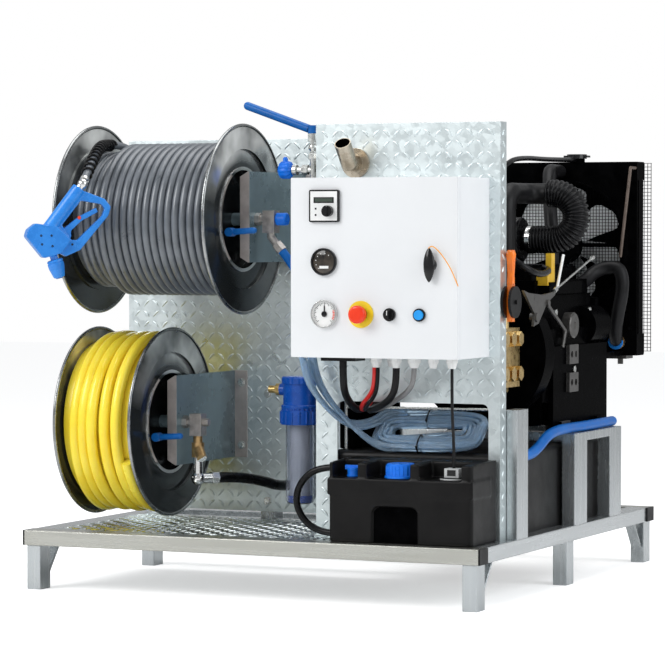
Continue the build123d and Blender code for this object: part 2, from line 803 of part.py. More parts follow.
def cabinet_door():
    """Shallow pan with cut-outs for the controls."""
    x, z = cabinet_spans()
    back = DOOR_FRONT + DOOR_DEPTH
    skin = (DOOR_FRONT, DOOR_FRONT + CABINET_SHEET)
    door = fillet(block(x, (DOOR_FRONT, back), z).edges().filter_by(Axis.Y), CABINET_SHEET)
    inner_x = (x[0] + CABINET_SHEET, x[1] - CABINET_SHEET)
    inner_z = (z[0] + CABINET_SHEET, z[1] - CABINET_SHEET)
    door -= block(inner_x, (skin[1], back), inner_z)
    hole = DISPLAY_BODY + 2 * SIDE_PLAY
    door -= block(around(DISPLAY_PLACE[0], hole), skin, around(DISPLAY_PLACE[1], hole))
    for place, radius in ((METER_PLACE, METER_RADIUS - BODY_INSET), (GAUGE_PLACE, GAUGE_RADIUS - BODY_INSET)):
        door -= bar_y(place[0], skin, place[1], radius + SIDE_PLAY)
    for place in (STOP_PLACE, SELECTOR_PLACE, BUTTON_PLACE):
        door -= bar_y(place[0], skin, place[1], SWITCH_BORE)
    return door - bar_y(LATCH_PLACE[0], skin, LATCH_PLACE[1], STEM_RADIUS + RUN_FIT)


def controller():
    face = (DOOR_FRONT - DISPLAY_DEPTH, DOOR_FRONT)
    frame = block(around(DISPLAY_PLACE[0], DISPLAY_SIDE), face, around(DISPLAY_PLACE[1], DISPLAY_SIDE))
    frame = fillet(frame.edges().filter_by(Axis.Y), 4)
    body = (DOOR_FRONT, DOOR_FRONT + BODY_DEPTH)
    frame += block(around(DISPLAY_PLACE[0], DISPLAY_BODY), body, around(DISPLAY_PLACE[1], DISPLAY_BODY))
    x, z = knob_place()
    return frame - bar_y(x, (face[0], face[0] + STEM_LENGTH), z, STEM_RADIUS + RUN_FIT)


def knob_place():
    return (DISPLAY_PLACE[0] + KNOB_OFFSET[0], DISPLAY_PLACE[1] + KNOB_OFFSET[1])


def controller_knob():
    x, z = knob_place()
    face = DOOR_FRONT - DISPLAY_DEPTH
    back = face - SIDE_PLAY
    knob = bar_y(x, (back - KNOB_HEIGHT, back), z, KNOB_RADIUS)
    grip = (back - KNOB_HEIGHT - 4, back - KNOB_HEIGHT)
    knob += block(around(x, 4), grip, around(z, 1.7 * KNOB_RADIUS))
    return knob + bar_y(x, (back, face + STEM_LENGTH - 1), z, STEM_RADIUS)


def round_instrument(place, radius):
    """Case with a raised rim round a sunk dial, and a body through the door."""
    x, z = place
    face = DOOR_FRONT - BEZEL_HEIGHT
    case = bar_y(x, (face, DOOR_FRONT), z, radius)
    case += bar_y(x, (DOOR_FRONT, DOOR_FRONT + BODY_DEPTH), z, radius - BODY_INSET)
    return case - bar_y(x, (face, face + DIAL_DEPTH), z, radius - BEZEL_RIM)


def switch_bezel(place):
    x, z = place
    return ring_y(x, (DOOR_FRONT - SWITCH_BEZEL, DOOR_FRONT), z, SWITCH_BORE, SWITCH_RADIUS)


def door_instruments():
    """Controller, hour meter, pressure gauge, stop disc with its collar and the two switch bezels."""
    dial = DOOR_FRONT - BEZEL_HEIGHT + DIAL_DEPTH
    gauge = round_instrument(GAUGE_PLACE, GAUGE_RADIUS)
    gauge -= bar_y(GAUGE_PLACE[0], (dial, dial + STEM_LENGTH), GAUGE_PLACE[1], POINTER_WIDTH / 2 + RUN_FIT)
    x, z = STOP_PLACE
    disc = DOOR_FRONT - STOP_DISC_SHEET
    stop = ring_y(x, (disc, DOOR_FRONT), z, SWITCH_BORE, STOP_DISC_RADIUS)
    collar = ring_y(x, (disc - STOP_COLLAR_HEIGHT, disc), z, SWITCH_BORE, STOP_COLLAR_RADIUS)
    bezels = [switch_bezel(SELECTOR_PLACE), switch_bezel(BUTTON_PLACE)]
    meter = round_instrument(METER_PLACE, METER_RADIUS)
    return Compound([controller(), meter, gauge, stop, collar] + bezels)


def gauge_pointer():
    x, z = GAUGE_PLACE
    dial = DOOR_FRONT - BEZEL_HEIGHT + DIAL_DEPTH
    back = dial - SIDE_PLAY
    face = back - POINTER_SHEET
    pointer = block((x - POINTER_WIDTH / 2, x + POINTER_WIDTH / 2), (face, back), (z - 6, z + POINTER_LENGTH))
    pointer += bar_y(x, (face, back), z, 2 * POINTER_WIDTH)
    return pointer + bar_y(x, (back, dial + STEM_LENGTH - 2), z, POINTER_WIDTH / 2)


def estop_button():
    x, z = STOP_PLACE
    collar = DOOR_FRONT - STOP_DISC_SHEET - STOP_COLLAR_HEIGHT
    under = collar - STOP_TRAVEL - 1.5
    head = bar_y(x, (under - STOP_HEAD_HEIGHT, under), z, STOP_HEAD_RADIUS)
    head = fillet(head.edges().sort_by(Axis.Y)[0], 6)
    return head + bar_y(x, (under, DOOR_FRONT + STEM_LENGTH), z, SWITCH_BORE - SWITCH_PLAY)


def mode_switch():
    x, z = SELECTOR_PLACE
    face = DOOR_FRONT - SWITCH_BEZEL
    radius = SWITCH_BORE - SWITCH_PLAY
    knob = bar_y(x, (face - 3, DOOR_FRONT + STEM_LENGTH), z, radius)
    width, proud = SELECTOR_GRIP
    return knob + block(around(x, width), (face - 3 - proud, face - 3), around(z, 1.7 * radius))


def start_button():
    x, z = BUTTON_PLACE
    face = DOOR_FRONT - SWITCH_BEZEL - BUTTON_PROUD
    return bar_y(x, (face, DOOR_FRONT + STEM_LENGTH), z, SWITCH_BORE - SWITCH_PLAY)


def door_handle():
    """Wing handle on a round boss, with a stem through the door and a latch tongue inside."""
    x, z = LATCH_PLACE
    width, height = LATCH_WING
    seat = DOOR_FRONT - SIDE_PLAY
    boss = bar_y(x, (seat - LATCH_HEIGHT / 2, seat), z, LATCH_BOSS)
    wing_y = (seat - LATCH_HEIGHT, seat - LATCH_HEIGHT / 3)
    reach = (height - width) / 2
    wing = block(around(x, width), wing_y, around(z, height - width))
    for side in (-1, 1):
        wing += bar_y(x, wing_y, z + side * reach, width / 2)
    inside = DOOR_FRONT + CABINET_SHEET + SIDE_PLAY
    stem = bar_y(x, (seat, inside + 4), z, STEM_RADIUS)
    tongue = block((x - 40, x + 8), (inside, inside + 4), around(z, 16))
    return boss + wing + stem + tongue


def control_gear():
    """Mounting plate on standoffs with contactors, relays and a terminal strip."""
    x, z = cabinet_spans()
    middle_x = sum(x) / 2
    middle_z = sum(z) / 2
    back = CABINET_BACK - CABINET_SHEET
    plate_y = (back - GEAR_STANDOFF - GEAR_PLATE_SHEET, back - GEAR_STANDOFF)
    reach = GEAR_PLATE_SIDE / 2
    plate = block(around(middle_x, 2 * reach), plate_y, around(middle_z, 2 * reach))
    for side_x in (-1, 1):
        for side_z in (-1, 1):
            foot = (middle_x + side_x * 0.9 * reach, middle_z + side_z * 0.9 * reach)
            plate += bar_y(foot[0], (plate_y[1], back), foot[1], 6)
    gear_y = (plate_y[0] - GEAR_DEPTH, plate_y[0])
    low_y = (plate_y[0] - GEAR_DEPTH / 2, plate_y[0])
    gear = [plate]
    for number in range(3):
        gear.append(block(around(middle_x - 90 + 60 * number, 45), gear_y, around(middle_z + 90, 85)))
    gear.append(block(around(middle_x, 240), low_y, around(middle_z - 110, 45)))
    gear.append(block(around(middle_x + 20, 160), low_y, around(middle_z - 20, 60)))
    return Compound(gear)


def cable_glands():
    """Black entry plate and a row of hexagon glands with domed nuts."""
    width, depth, height = ENTRY_PLATE
    top = CABINET_BOTTOM
    parts = [block(around(ENTRY_PLACE, width), around(GLAND_LINE, depth), (top - height, top))]
    for x, y, radius in GLANDS:
        nut = hexagon(spot(x, y, top), spot(x, y, top - GLAND_HEIGHT / 2), radius)
        shoulder, foot = spot(x, y, top - GLAND_HEIGHT / 2), spot(x, y, top - GLAND_HEIGHT)
        dome = rod(shoulder, foot, 0.85 * radius, 0.6 * radius)
        parts.append(nut + dome)
    return Compound(parts)


def into_conduit(right):
    """Last bends of a cable: under the window's edge and up into the mouth of the conduit."""
    x, y, z = CONDUIT_MOUTH
    x -= right
    return [(x, y - 80, CABLE_DIP), (x, y - 35, CABLE_DIP + 4), (x, y, CABLE_DIP + 27), (x, y, z)]


def cabinet_cables():
    """Five cables gathered in a conduit to the engine, and the lead of the level sender."""
    x, y, top = ENTRY_PLACE, GLAND_LINE, CABINET_BOTTOM - ENTRY_PLATE[2]
    cables = [cord([(x, y, top), (x, y, top - 41), (x + 4, y + 18, top - 75), (x + 8, y + 60, top - 101)]
                   + into_conduit(-18), THICK_CABLE, "entry cable")]
    top = CABINET_BOTTOM - GLAND_HEIGHT
    x, y, radius = GLANDS[0]
    cables.append(cord([(x + 4, y, top), (x + 4, y, top - 30), (x + 16, y + 12, top - 59),
                        (x + 61, y + 60, top - 87)] + into_conduit(-8.5), THIN_CABLE, "red lead"))
    cables.append(cord([(x - 4, y, top), (x - 4, y, top - 34), (x + 8, y + 12, top - 65),
                        (x + 49, y + 58, top - 91)] + into_conduit(-1.5), THIN_CABLE, "black lead"))
    x, y, radius = GLANDS[2]
    cables.append(cord([(x, y, top), (x, y, top - 40), (x + 20, y + 14, top - 72), (x + 76, y + 65, top - 95)]
                       + into_conduit(8), THICK_CABLE, "power cable"))
    x, y, radius = GLANDS[3]
    cables.append(cord([(x, y, top), (x, y, top - 30), (x + 23, y + 12, top - 58), (x + 93, y + 55, top - 91)]
                       + into_conduit(18.5), GREY_CABLE, "grey cable"))
    x, y, radius = GLANDS[5]
    sender = WELL_FLOOR + SENDER_FLANGE + SENDER_BOX[2]
    cables.append(cord([(x, y, top), (x, y, top - 50), (x - 4, y - 8, top - 105),
                        (SENDER_PLACE, WELL_LINE, sender + 54), (SENDER_PLACE, WELL_LINE, sender)],
                       THIN_CABLE, "sender lead"))
    x, y, z = CONDUIT_MOUTH
    end = (x - 37, HOUSING_SPAN[0], CRANK_HEIGHT + 43)
    cables.append(cord([(x, y, z), (x, y, z + 55), (x - 6, y + 27, z + 100), (x - 18, y + 80, z + 116),
                        (x - 31, end[1] - 85, end[2] + 8), (end[0], end[1] - 45, end[2]), end],
                       CONDUIT_RADIUS, "conduit"))
    return Compound(cables)


def spool(disc, axis):
    """Reel drum: two stepped discs with rolled rims on a tube, and two recessed hub plates."""
    right = (disc, disc + DISC_SHEET)
    left = (LEFT_DISC - DISC_SHEET, LEFT_DISC)
    solid = ring_x((right[1], left[0]), REEL_LINE, axis, DRUM_RADIUS - DRUM_WALL, DRUM_RADIUS)
    bore = AXLE_RADIUS + RUN_FIT
    for face, way in ((right, -1), (left, 1)):
        outer = (min(face) + way * DISC_STEP, max(face) + way * DISC_STEP)
        wall = (min(face + outer), max(face + outer))
        solid += ring_x(face, REEL_LINE, axis, DRUM_RADIUS - DRUM_WALL, DISC_STEP_RADIUS)
        solid += ring_x(wall, REEL_LINE, axis, DISC_STEP_RADIUS - DISC_SHEET, DISC_STEP_RADIUS)
        solid += ring_x(outer, REEL_LINE, axis, DISC_STEP_RADIUS - DISC_SHEET, DISC_RADIUS)
        lip = (face[0] - 3, face[1]) if way < 0 else (face[0], face[1] + 3)
        solid += ring_x(lip, REEL_LINE, axis, DRUM_RADIUS - 2 * DRUM_WALL, DRUM_RADIUS)
        plane = Plane(origin=spot(sum(outer) / 2, REEL_LINE, axis), z_dir=(1, 0, 0))
        solid += plane * Torus(DISC_RADIUS, BEAD_RADIUS)
        inner = face[0] + HUB_RECESS if way < 0 else face[1] - HUB_RECESS
        hub = (inner, inner + HUB_SHEET) if way < 0 else (inner - HUB_SHEET, inner)
        boss = (inner, inner + HUB_BOSS_LENGTH) if way < 0 else (inner - HUB_BOSS_LENGTH, inner)
        solid += bar_x(hub, REEL_LINE, axis, DRUM_RADIUS - DRUM_WALL)
        solid += bar_x(boss, REEL_LINE, axis, HUB_BOSS_RADIUS)
        head = (inner - 4, inner) if way < 0 else (inner, inner + 4)
        for number in range(HUB_SCREWS):
            angle = 2 * math.pi * (number + 0.5) / HUB_SCREWS
            y = REEL_LINE + HUB_SCREW_CIRCLE * math.cos(angle)
            solid += bar_x(head, y, axis + HUB_SCREW_CIRCLE * math.sin(angle), HUB_SCREW_RADIUS)
    return solid - bar_x((disc, LEFT_DISC), REEL_LINE, axis, bore)


def brake_place(disc, axis):
    """Pivot line of a brake lever: place and height."""
    return (bracket_web(disc) + FRONT_FLANGE / 2, axis - BRAKE_DROP)


def bracket(disc, axis):
    """Folded sheet from the reel panel to beside the disc, with the stub axle of the reel."""
    web = bracket_web(disc)
    web_x = (web - BRACKET_SHEET, web)
    front = REEL_LINE - BRACKET_FRONT
    z = around(axis + BRACKET_RISE, BRACKET_HEIGHT)
    solid = block(web_x, (front, REEL_PANEL_FRONT), z)
    flange_y = (front, front + BRACKET_SHEET)
    low, high = z
    edge = web + FRONT_FLANGE
    outline = [(web, low), (edge, low + FLANGE_CHAMFER), (edge, high - FLANGE_CHAMFER), (web, high)]
    plane = Plane(origin=(RIGHT, FRONT + flange_y[0], 0), x_dir=(-1, 0, 0), z_dir=(0, 1, 0))
    solid += extrude(plane * Polygon(*outline, align=None), BRACKET_SHEET, dir=(0, 1, 0))
    back = (web_x[0] - BACK_FLANGE, web_x[0])
    solid += block(back, (REEL_PANEL_FRONT - BRACKET_SHEET, REEL_PANEL_FRONT), z)
    axle_end = LEFT_DISC - HUB_RECESS - 2
    solid += bar_x((web, axle_end), REEL_LINE, axis, AXLE_RADIUS)
    x, height = brake_place(disc, axis)
    return solid - bar_y(x, flange_y, height, BRAKE_STUD + RUN_FIT)


def reel_brackets():
    return Compound([bracket(PRESSURE_DISC, PRESSURE_AXIS), bracket(WATER_DISC, WATER_AXIS)])


def brake_lever(disc, axis):
    """Clamp lever: hub on a stud through the bracket flange, with a short arm."""
    x, z = brake_place(disc, axis)
    y = REEL_LINE - BRAKE_FORWARD
    lever = bar_y(x, around(y, BRAKE_HUB_LENGTH), z, BRAKE_HUB)
    lever += rod(spot(x, y, z), spot(x - BRAKE_ARM, y - 6, z + 4), BRAKE_ARM_RADIUS)
    lever += Pos(spot(x - BRAKE_ARM, y - 6, z + 4)) * Sphere(BRAKE_ARM_RADIUS)
    flange = REEL_LINE - BRACKET_FRONT + BRACKET_SHEET
    return lever + bar_y(x, (y, flange + 4), z, BRAKE_STUD)


def swivel(disc, axis):
    """Hexagon fittings and swivel block on the outside of a bracket."""
    face = bracket_web(disc) - BRACKET_SHEET
    width, depth, height = SWIVEL_BLOCK
    seat = face - 22
    parts = hexagon(spot(face, REEL_LINE, axis), spot(face - 12, REEL_LINE, axis), SWIVEL_HEX)
    parts += bar_x((seat, face - 12), REEL_LINE, axis, SWIVEL_NIPPLE)
    parts += block((seat - width, seat), around(REEL_LINE, depth), around(axis - 6, height))
    outer = seat - width
    return parts + hexagon(spot(outer, REEL_LINE, axis), spot(outer - 14, REEL_LINE, axis), 0.6 * SWIVEL_HEX)


def swivel_foot(disc, axis):
    """Middle of the underside of a swivel block."""
    middle = bracket_web(disc) - BRACKET_SHEET - 22 - SWIVEL_BLOCK[0] / 2
    return (middle, REEL_LINE, axis - 6 - SWIVEL_BLOCK[2] / 2)


def nipple_places():
    """Bend, shoulder and end of the slanted nipple under the upper swivel."""
    x, y, foot = swivel_foot(PRESSURE_DISC, PRESSURE_AXIS)
    bend = spot(x, y, foot - SWIVEL_NIPPLE)
    return bend, bend + NIPPLE_WAY * (NIPPLE_REACH / 2), bend + NIPPLE_WAY * NIPPLE_REACH


def reel_swivels():
    """Both swivels; the water one hangs a strainer and an elbow, the other a nipple."""
    x, y, foot = swivel_foot(WATER_DISC, WATER_AXIS)
    strainer = bar_z(x, y, (foot - 16, foot), STRAINER_RADIUS - 4)
    strainer += bar_z(x, y, (foot - 50, foot - 16), STRAINER_RADIUS)
    strainer += rod(spot(x, y, foot - 24), spot(x - 20, y - 20, foot - 52), STRAINER_RADIUS - 3)
    elbow = bar_z(x, y, (ELBOW_HEIGHT, foot - 50), STRAINER_RADIUS - 4)
    elbow += Pos(spot(x, y, ELBOW_HEIGHT)) * Sphere(STRAINER_RADIUS + 1)
    bend = spot(x, y, ELBOW_HEIGHT)
    elbow += rod(bend, bend + ELBOW_WAY * 34, STRAINER_RADIUS - 3)
    elbow += hexagon(bend + ELBOW_WAY * 34, bend + ELBOW_WAY * ELBOW_REACH, STRAINER_RADIUS)
    x, y, foot = swivel_foot(PRESSURE_DISC, PRESSURE_AXIS)
    start, middle, end = nipple_places()
    nipple = bar_z(x, y, (start.Z, foot), SWIVEL_NIPPLE) + Pos(start) * Sphere(SWIVEL_NIPPLE)
    nipple += rod(start, middle, SWIVEL_NIPPLE) + hexagon(middle, end, SWIVEL_HEX - 2)
    swivels = [swivel(WATER_DISC, WATER_AXIS), swivel(PRESSURE_DISC, PRESSURE_AXIS)]
    return Compound(swivels + [strainer, elbow, nipple])


def around_reel(place, axis, radius, angle):
    """Point on a reel: angle from the top, forward and down."""
    return spot(place, REEL_LINE - radius * math.sin(angle), axis + radius * math.cos(angle))


def ease(step):
    step = min(max(step, 0.0), 1.0)
    return step * step * (3 - 2 * step)


def pressure_curve(angle):
    """Outer layer of the pressure hose; the last half turn rises and moves off to the left."""
    late = ease(angle / math.pi + 1)
    place = PRESSURE_END_PLACE + PRESSURE_PITCH * angle / (2 * math.pi) + PRESSURE_END_SHIFT * late
    return around_reel(place, PRESSURE_AXIS, PRESSURE_LAYER_RADIUS + PRESSURE_END_RISE * late, angle)


def layer_core(x, axis, radius):
    """Inner layers of hose as one plain sleeve on the drum."""
    return ring_x(x, REEL_LINE, axis, DRUM_RADIUS + LAYER_GAP, radius)


def pressure_stations():
    turn = 2 * math.pi
    quarters = round(4 * PRESSURE_TURNS)
    return with_ends(stations_on(pressure_curve, -turn * PRESSURE_TURNS, 0.0, quarters), PRESSURE_HOSE)


def under_radius():
    """Middle of the layer of pressure hose under the outer one."""
    return PRESSURE_LAYER_RADIUS - PRESSURE_HOSE - LAYER_GAP


def under_curve(angle):
    """Turns of the layer below, which show beside the left disc."""
    place = UNDER_END_PLACE + UNDER_PITCH * angle / (2 * math.pi)
    return around_reel(place, PRESSURE_AXIS, under_radius(), angle)


def under_turns():
    first = -2 * math.pi * UNDER_TURNS
    least_gap(under_curve, first, 0.0, PRESSURE_HOSE, "lower layer")
    stations = with_ends(stations_on(under_curve, first, 0.0, round(4 * UNDER_TURNS)), PRESSURE_HOSE / 2)
    return swept_tube(arc_path(stations), PRESSURE_HOSE / 2)


def pressure_hose():
    least_gap(pressure_curve, -2 * math.pi * PRESSURE_TURNS, 0.0, PRESSURE_HOSE, "pressure hose")
    return Compound([swept_tube(arc_path(pressure_stations()), PRESSURE_HOSE / 2), under_turns()])


def pressure_reel():
    """Upper reel with the inner layers of hose on its drum."""
    under = UNDER_END_PLACE - UNDER_PITCH * UNDER_TURNS - PRESSURE_HOSE
    x = (PRESSURE_DISC + DISC_SHEET + LAYER_GAP, under)
    low = under_radius() - PRESSURE_HOSE / 2 - LAYER_GAP
    layers = layer_core(x, PRESSURE_AXIS, low + PRESSURE_HOSE)
    layers += layer_core((under, LEFT_DISC - DISC_SHEET - LAYER_GAP), PRESSURE_AXIS, low)
    return Compound([spool(PRESSURE_DISC, PRESSURE_AXIS), layers])


def water_reel():
    """Lower reel with the inner layers of hose on its drum."""
    x = (WATER_DISC + DISC_SHEET + LAYER_GAP, LEFT_DISC - DISC_SHEET - LAYER_GAP)
    layers = layer_core(x, WATER_AXIS, WATER_LAYER_RADIUS - WATER_HOSE / 2 - LAYER_GAP)
    return Compound([spool(WATER_DISC, WATER_AXIS), layers])


def water_curve(angle):
    middle = (WATER_DISC + LEFT_DISC) / 2
    half = math.pi * WATER_TURNS
    place = middle + WATER_PITCH * (angle - half) / (2 * math.pi)
    return around_reel(place, WATER_AXIS, WATER_LAYER_RADIUS, angle + math.radians(115))


def water_hose():
    last = 2 * math.pi * WATER_TURNS
    least_gap(water_curve, 0.0, last, WATER_HOSE, "water hose")
    stations = with_ends(stations_on(water_curve, 0.0, last, round(4 * WATER_TURNS)), WATER_HOSE / 2)
    return swept_tube(arc_path(stations), WATER_HOSE / 2)


GUN = Pos(spot(*GUN_INLET)) * Rot(0, 0, GUN_TURN)
GUN_PLANE = Plane(origin=(0, 0, 0), x_dir=(1, 0, 0), z_dir=(0, -1, 0))


def gun_slab(points, half):
    """Slab of the gun: drawn from the side, half its thickness to each side."""
    return extrude(GUN_PLANE * Polygon(*points, align=None), half, dir=(0, -1, 0), both=True)


def gun_point(place, across=0.0):
    return Vector(place[0], across, place[1])


def gun_disc(place, radius, half):
    return rod(gun_point(place, -half), gun_point(place, half), radius)


def trigger_shape(play):
    """Trigger bar on its round boss, grown by a play when it is used as a cutter."""
    half = TRIGGER_HALF + play
    bar = gun_slab([(-37 - play, -106), (-38 - play, -92), (0, -63 + play), (38 + play, -44 + play),
                    (42 + play, -54 - play), (4, -74 - play), (-20 + play, -96 - play),
                    (-21 + play, -106)], half)
    return bar + gun_disc(TRIGGER_PIVOT, TRIGGER_BOSS + play, half)


def turned_trigger(angle, play):
    pivot = gun_point(TRIGGER_PIVOT)
    return Pos(pivot) * Rot(0, -angle, 0) * Pos(-pivot) * trigger_shape(play)


def collar_way():
    return (gun_point(COLLAR_END) - gun_point(COLLAR_TOP)).normalized()


def gun_body():
    """Handle, head and trigger guard, with the barrel and the steel coupling."""
    handle = rod((0, 0, 0), gun_point(HANDLE_END), HANDLE_RADIUS)
    head = gun_slab([(-104, -80), (-122, -94), (-127, -110), (-86, -160), (-44, -148), (-22, -118),
                     (-52, -88)], HEAD_HALF)
    head = fillet(head.edges().filter_by(Axis.Y), 8)
    outer = gun_slab([(-16, -6), (10, -6), (58, -24), (72, -42), (66, -62), (0, -141), (-34, -156),
                      (-60, -140), (-60, -80)], GUARD_HALF)
    outer = fillet(outer.edges().filter_by(Axis.Y), 6)
    inner = gun_slab([(2, -28), (50, -36), (58, -46), (52, -62), (-6, -118), (-20, -118), (-42, -84)],
                     HEAD_HALF)
    body = handle + head + outer - inner
    for step in range(4):
        body -= turned_trigger(TRIGGER_THROW * step / 3, TRIGGER_PLAY)
    barrel_end = gun_point(COLLAR_END)
    body += rod(gun_point(COLLAR_TOP) - collar_way() * 2 * BARREL_RADIUS, barrel_end, BARREL_RADIUS)
    body -= rod(barrel_end - collar_way() * OUTLET_DEPTH, barrel_end, OUTLET_RADIUS)
    steel = [coupling_near(), coupling_far()]
    return Compound([GUN * body] + steel)


def handle_way():
    """Direction out of the handle's inlet, in the skid's frame."""
    tail = -gun_point(HANDLE_END).normalized()
    turn = math.radians(GUN_TURN)
    return Vector(tail.X * math.cos(turn), tail.X * math.sin(turn), tail.Z)


TAIL_WAY = Vector(-0.05, 0.70, 0.71).normalized()


def coupling_ball():
    return spot(*GUN_INLET) + handle_way() * COUPLING_LENGTHS[0]


def tail_foot():
    """Where the hose tail meets the coupling."""
    return coupling_ball() + TAIL_WAY * COUPLING_LENGTHS[1]


def coupling_near():
    ball = coupling_ball()
    return rod(spot(*GUN_INLET), ball, COUPLING_RADIUS) + Pos(ball) * Sphere(COUPLING_BALL)


def coupling_far():
    start = coupling_ball() + TAIL_WAY * COUPLING_BALL
    return rod(start, tail_foot(), COUPLING_RADIUS + 1)


def gun_trigger():
    return GUN * trigger_shape(0.0)


def gun_collar():
    """Sliding collar round the barrel."""
    start = gun_point(COLLAR_TOP) + collar_way() * (COLLAR_TRAVEL + 1)
    end = gun_point(COLLAR_END) - collar_way() * 2
    collar = rod(start, end, COLLAR_WIDE, COLLAR_NARROW)
    bore = rod(start - collar_way(), end + collar_way(), BARREL_RADIUS + RUN_FIT)
    return GUN * (collar - bore)


def tail_points():
    """Route of the hose from the winding to the coupling."""
    end, way = pressure_stations()[-1]
    foot = tail_foot()
    return [end, end + way * 42, spot(993, 110, 1028), spot(978, 58, 1009),
            foot + TAIL_WAY * 41, foot]


def gun_hose():
    points = tail_points()
    path = cord_path(points)
    print("gun hose: least bend", round(min(bend_radii(points)) / PRESSURE_HOSE, 1), "diameters")
    return swept_tube(path, PRESSURE_HOSE / 2)


def guard_curve(angle):
    """Spiral round the hose tail, one wire thick outside it."""
    path = GUARD_PATH
    length = path.length
    margin = 2 * GUARD_WIRE
    share = (margin + (length - 2 * margin) * angle / (2 * math.pi * GUARD_TURNS)) / length
    middle = path.position_at(share)
    way = path.tangent_at(share)
    side = (Vector(1, 0, 0) - way * way.X).normalized()
    up = way.cross(side)
    radius = PRESSURE_HOSE / 2 + GUARD_GAP + GUARD_WIRE / 2
    return middle + side * (radius * math.cos(angle)) + up * (radius * math.sin(angle))


GUARD_PATH = cord_path(tail_points())


def bend_guard():
    last = 2 * math.pi * GUARD_TURNS
    least_gap(guard_curve, 0.0, last, GUARD_WIRE, "bend guard")
    stations = with_ends(stations_on(guard_curve, 0.0, last, 4 * GUARD_TURNS), GUARD_WIRE / 2)
    return swept_tube(arc_path(stations), GUARD_WIRE / 2)


def bypass_valve():
    """Valve column clamped to the edge of the control panel, with a side branch."""
    x, y = VALVE_PLACE
    body = VALVE_TOP - 18
    column = bar_z(x, y, (VALVE_FOOT, body), VALVE_TUBE)
    column += bar_z(x, y, (body, VALVE_TOP), VALVE_BODY)
    column += bar_z(x, y, (VALVE_TOP, VALVE_TOP + LEVER_HUB_HEIGHT), VALVE_STEM)
    column += Pos(spot(x, y, body - 14)) * Sphere(VALVE_BODY - 1)
    column += hexagon(spot(x, y, body - 40), spot(x, y, body - 28), VALVE_BODY)
    column += bar_x((x, BRANCH_END), y, BRANCH_HEIGHT, VALVE_TUBE - 1)
    column += hexagon(spot(x + 12, y, BRANCH_HEIGHT), spot(x + 26, y, BRANCH_HEIGHT), VALVE_BODY)
    column += bar_x((BRANCH_END - 10, BRANCH_END), y, BRANCH_HEIGHT, VALVE_BODY)
    column -= bar_x((BRANCH_END - STEM_LENGTH, BRANCH_END), y, BRANCH_HEIGHT, STEM_RADIUS + RUN_FIT)
    edge = CONTROL_PANEL_RIGHT + CONTROL_PANEL_WIDTH
    back = CONTROL_PANEL_FRONT + PANEL_SHEET
    return column + block((edge - 14, x + VALVE_BODY), (back, back + 24), (VALVE_FOOT + 14, VALVE_FOOT + 40))


def bypass_lever():
    x, y = VALVE_PLACE
    seat = VALVE_TOP + SIDE_PLAY
    hub = (seat, VALVE_TOP + LEVER_HUB_HEIGHT + 3)
    tip = spot(LEVER_TIP[0], y, LEVER_TIP[1])
    start = spot(x + LEVER_HUB - 2, y, VALVE_TOP + LEVER_HUB_HEIGHT / 2 + 3)
    lever = bar_z(x, y, hub, LEVER_HUB) + rod(start, tip, LEVER_RADIUS)
    lever += Pos(tip) * Sphere(LEVER_RADIUS)
    return lever - bar_z(x, y, (seat, VALVE_TOP + LEVER_HUB_HEIGHT + SIDE_PLAY), VALVE_STEM + RUN_FIT)


def bypass_knob():
    y = VALVE_PLACE[1]
    face = BRANCH_END + SIDE_PLAY
    knob = bar_x((face, face + DIAL_KNOB_LENGTH), y, BRANCH_HEIGHT, DIAL_KNOB_RADIUS)
    for number in range(12):
        angle = math.pi * number / 6
        knob -= bar_x((face + 6, face + DIAL_KNOB_LENGTH), y + DIAL_KNOB_RADIUS * math.cos(angle),
                      BRANCH_HEIGHT + DIAL_KNOB_RADIUS * math.sin(angle), 1.6)
    return knob + bar_x((BRANCH_END - STEM_LENGTH + 1, face), y, BRANCH_HEIGHT, STEM_RADIUS)


def exhaust_pipe():
    """Mitred tail pipe through the panel, a collar on the panel, the silencer and its down pipe."""
    x, z = EXHAUST_PLACE
    inner = EXHAUST_RADIUS - EXHAUST_WALL
    back = SILENCER_SPAN[0]
    knee = spot(x, EXHAUST_KNEE, z)
    tip_way = Vector(0, *EXHAUST_TIP)
    tip = knee + tip_way * EXHAUST_TIP_LENGTH
    path = Polyline(spot(x, back, z), knee, tip)
    start = Plane(origin=spot(x, back, z), z_dir=(0, -1, 0))
    pipe = sweep(start * Circle(EXHAUST_RADIUS), path=path, transition=Transition.RIGHT)
    pipe -= sweep(start * Circle(inner), path=path, transition=Transition.RIGHT)
    collar = (CONTROL_PANEL_FRONT - 5, CONTROL_PANEL_FRONT)
    ring = ring_y(x, collar, z, EXHAUST_RADIUS, EXHAUST_RADIUS + 3 * EXHAUST_CLEAR)
    can_z = z - SILENCER_RADIUS / 2
    can = bar_y(x, SILENCER_SPAN, can_z, SILENCER_RADIUS)
    can = fillet(can.edges().filter_by(GeomType.CIRCLE), 8)
    side = ENGINE_PLACE + BLOCK_WIDTH / 2 - 22
    down = [spot(x, SILENCER_SPAN[1] - 4, can_z), spot(x, 540, can_z - 4), spot(x - 20, 625, can_z - 60),
            spot(x - 38, 672, can_z - 150), spot(x - 46, 690, can_z - 232)]
    can += swept_tube(cord_path(down), EXHAUST_RADIUS)
    x0, y0, z0 = x - 46, 690, can_z - 232
    return Compound([pipe + ring, can + block((side, x0 + 28), around(y0, 150), (z0 - 34, z0 + 8))])


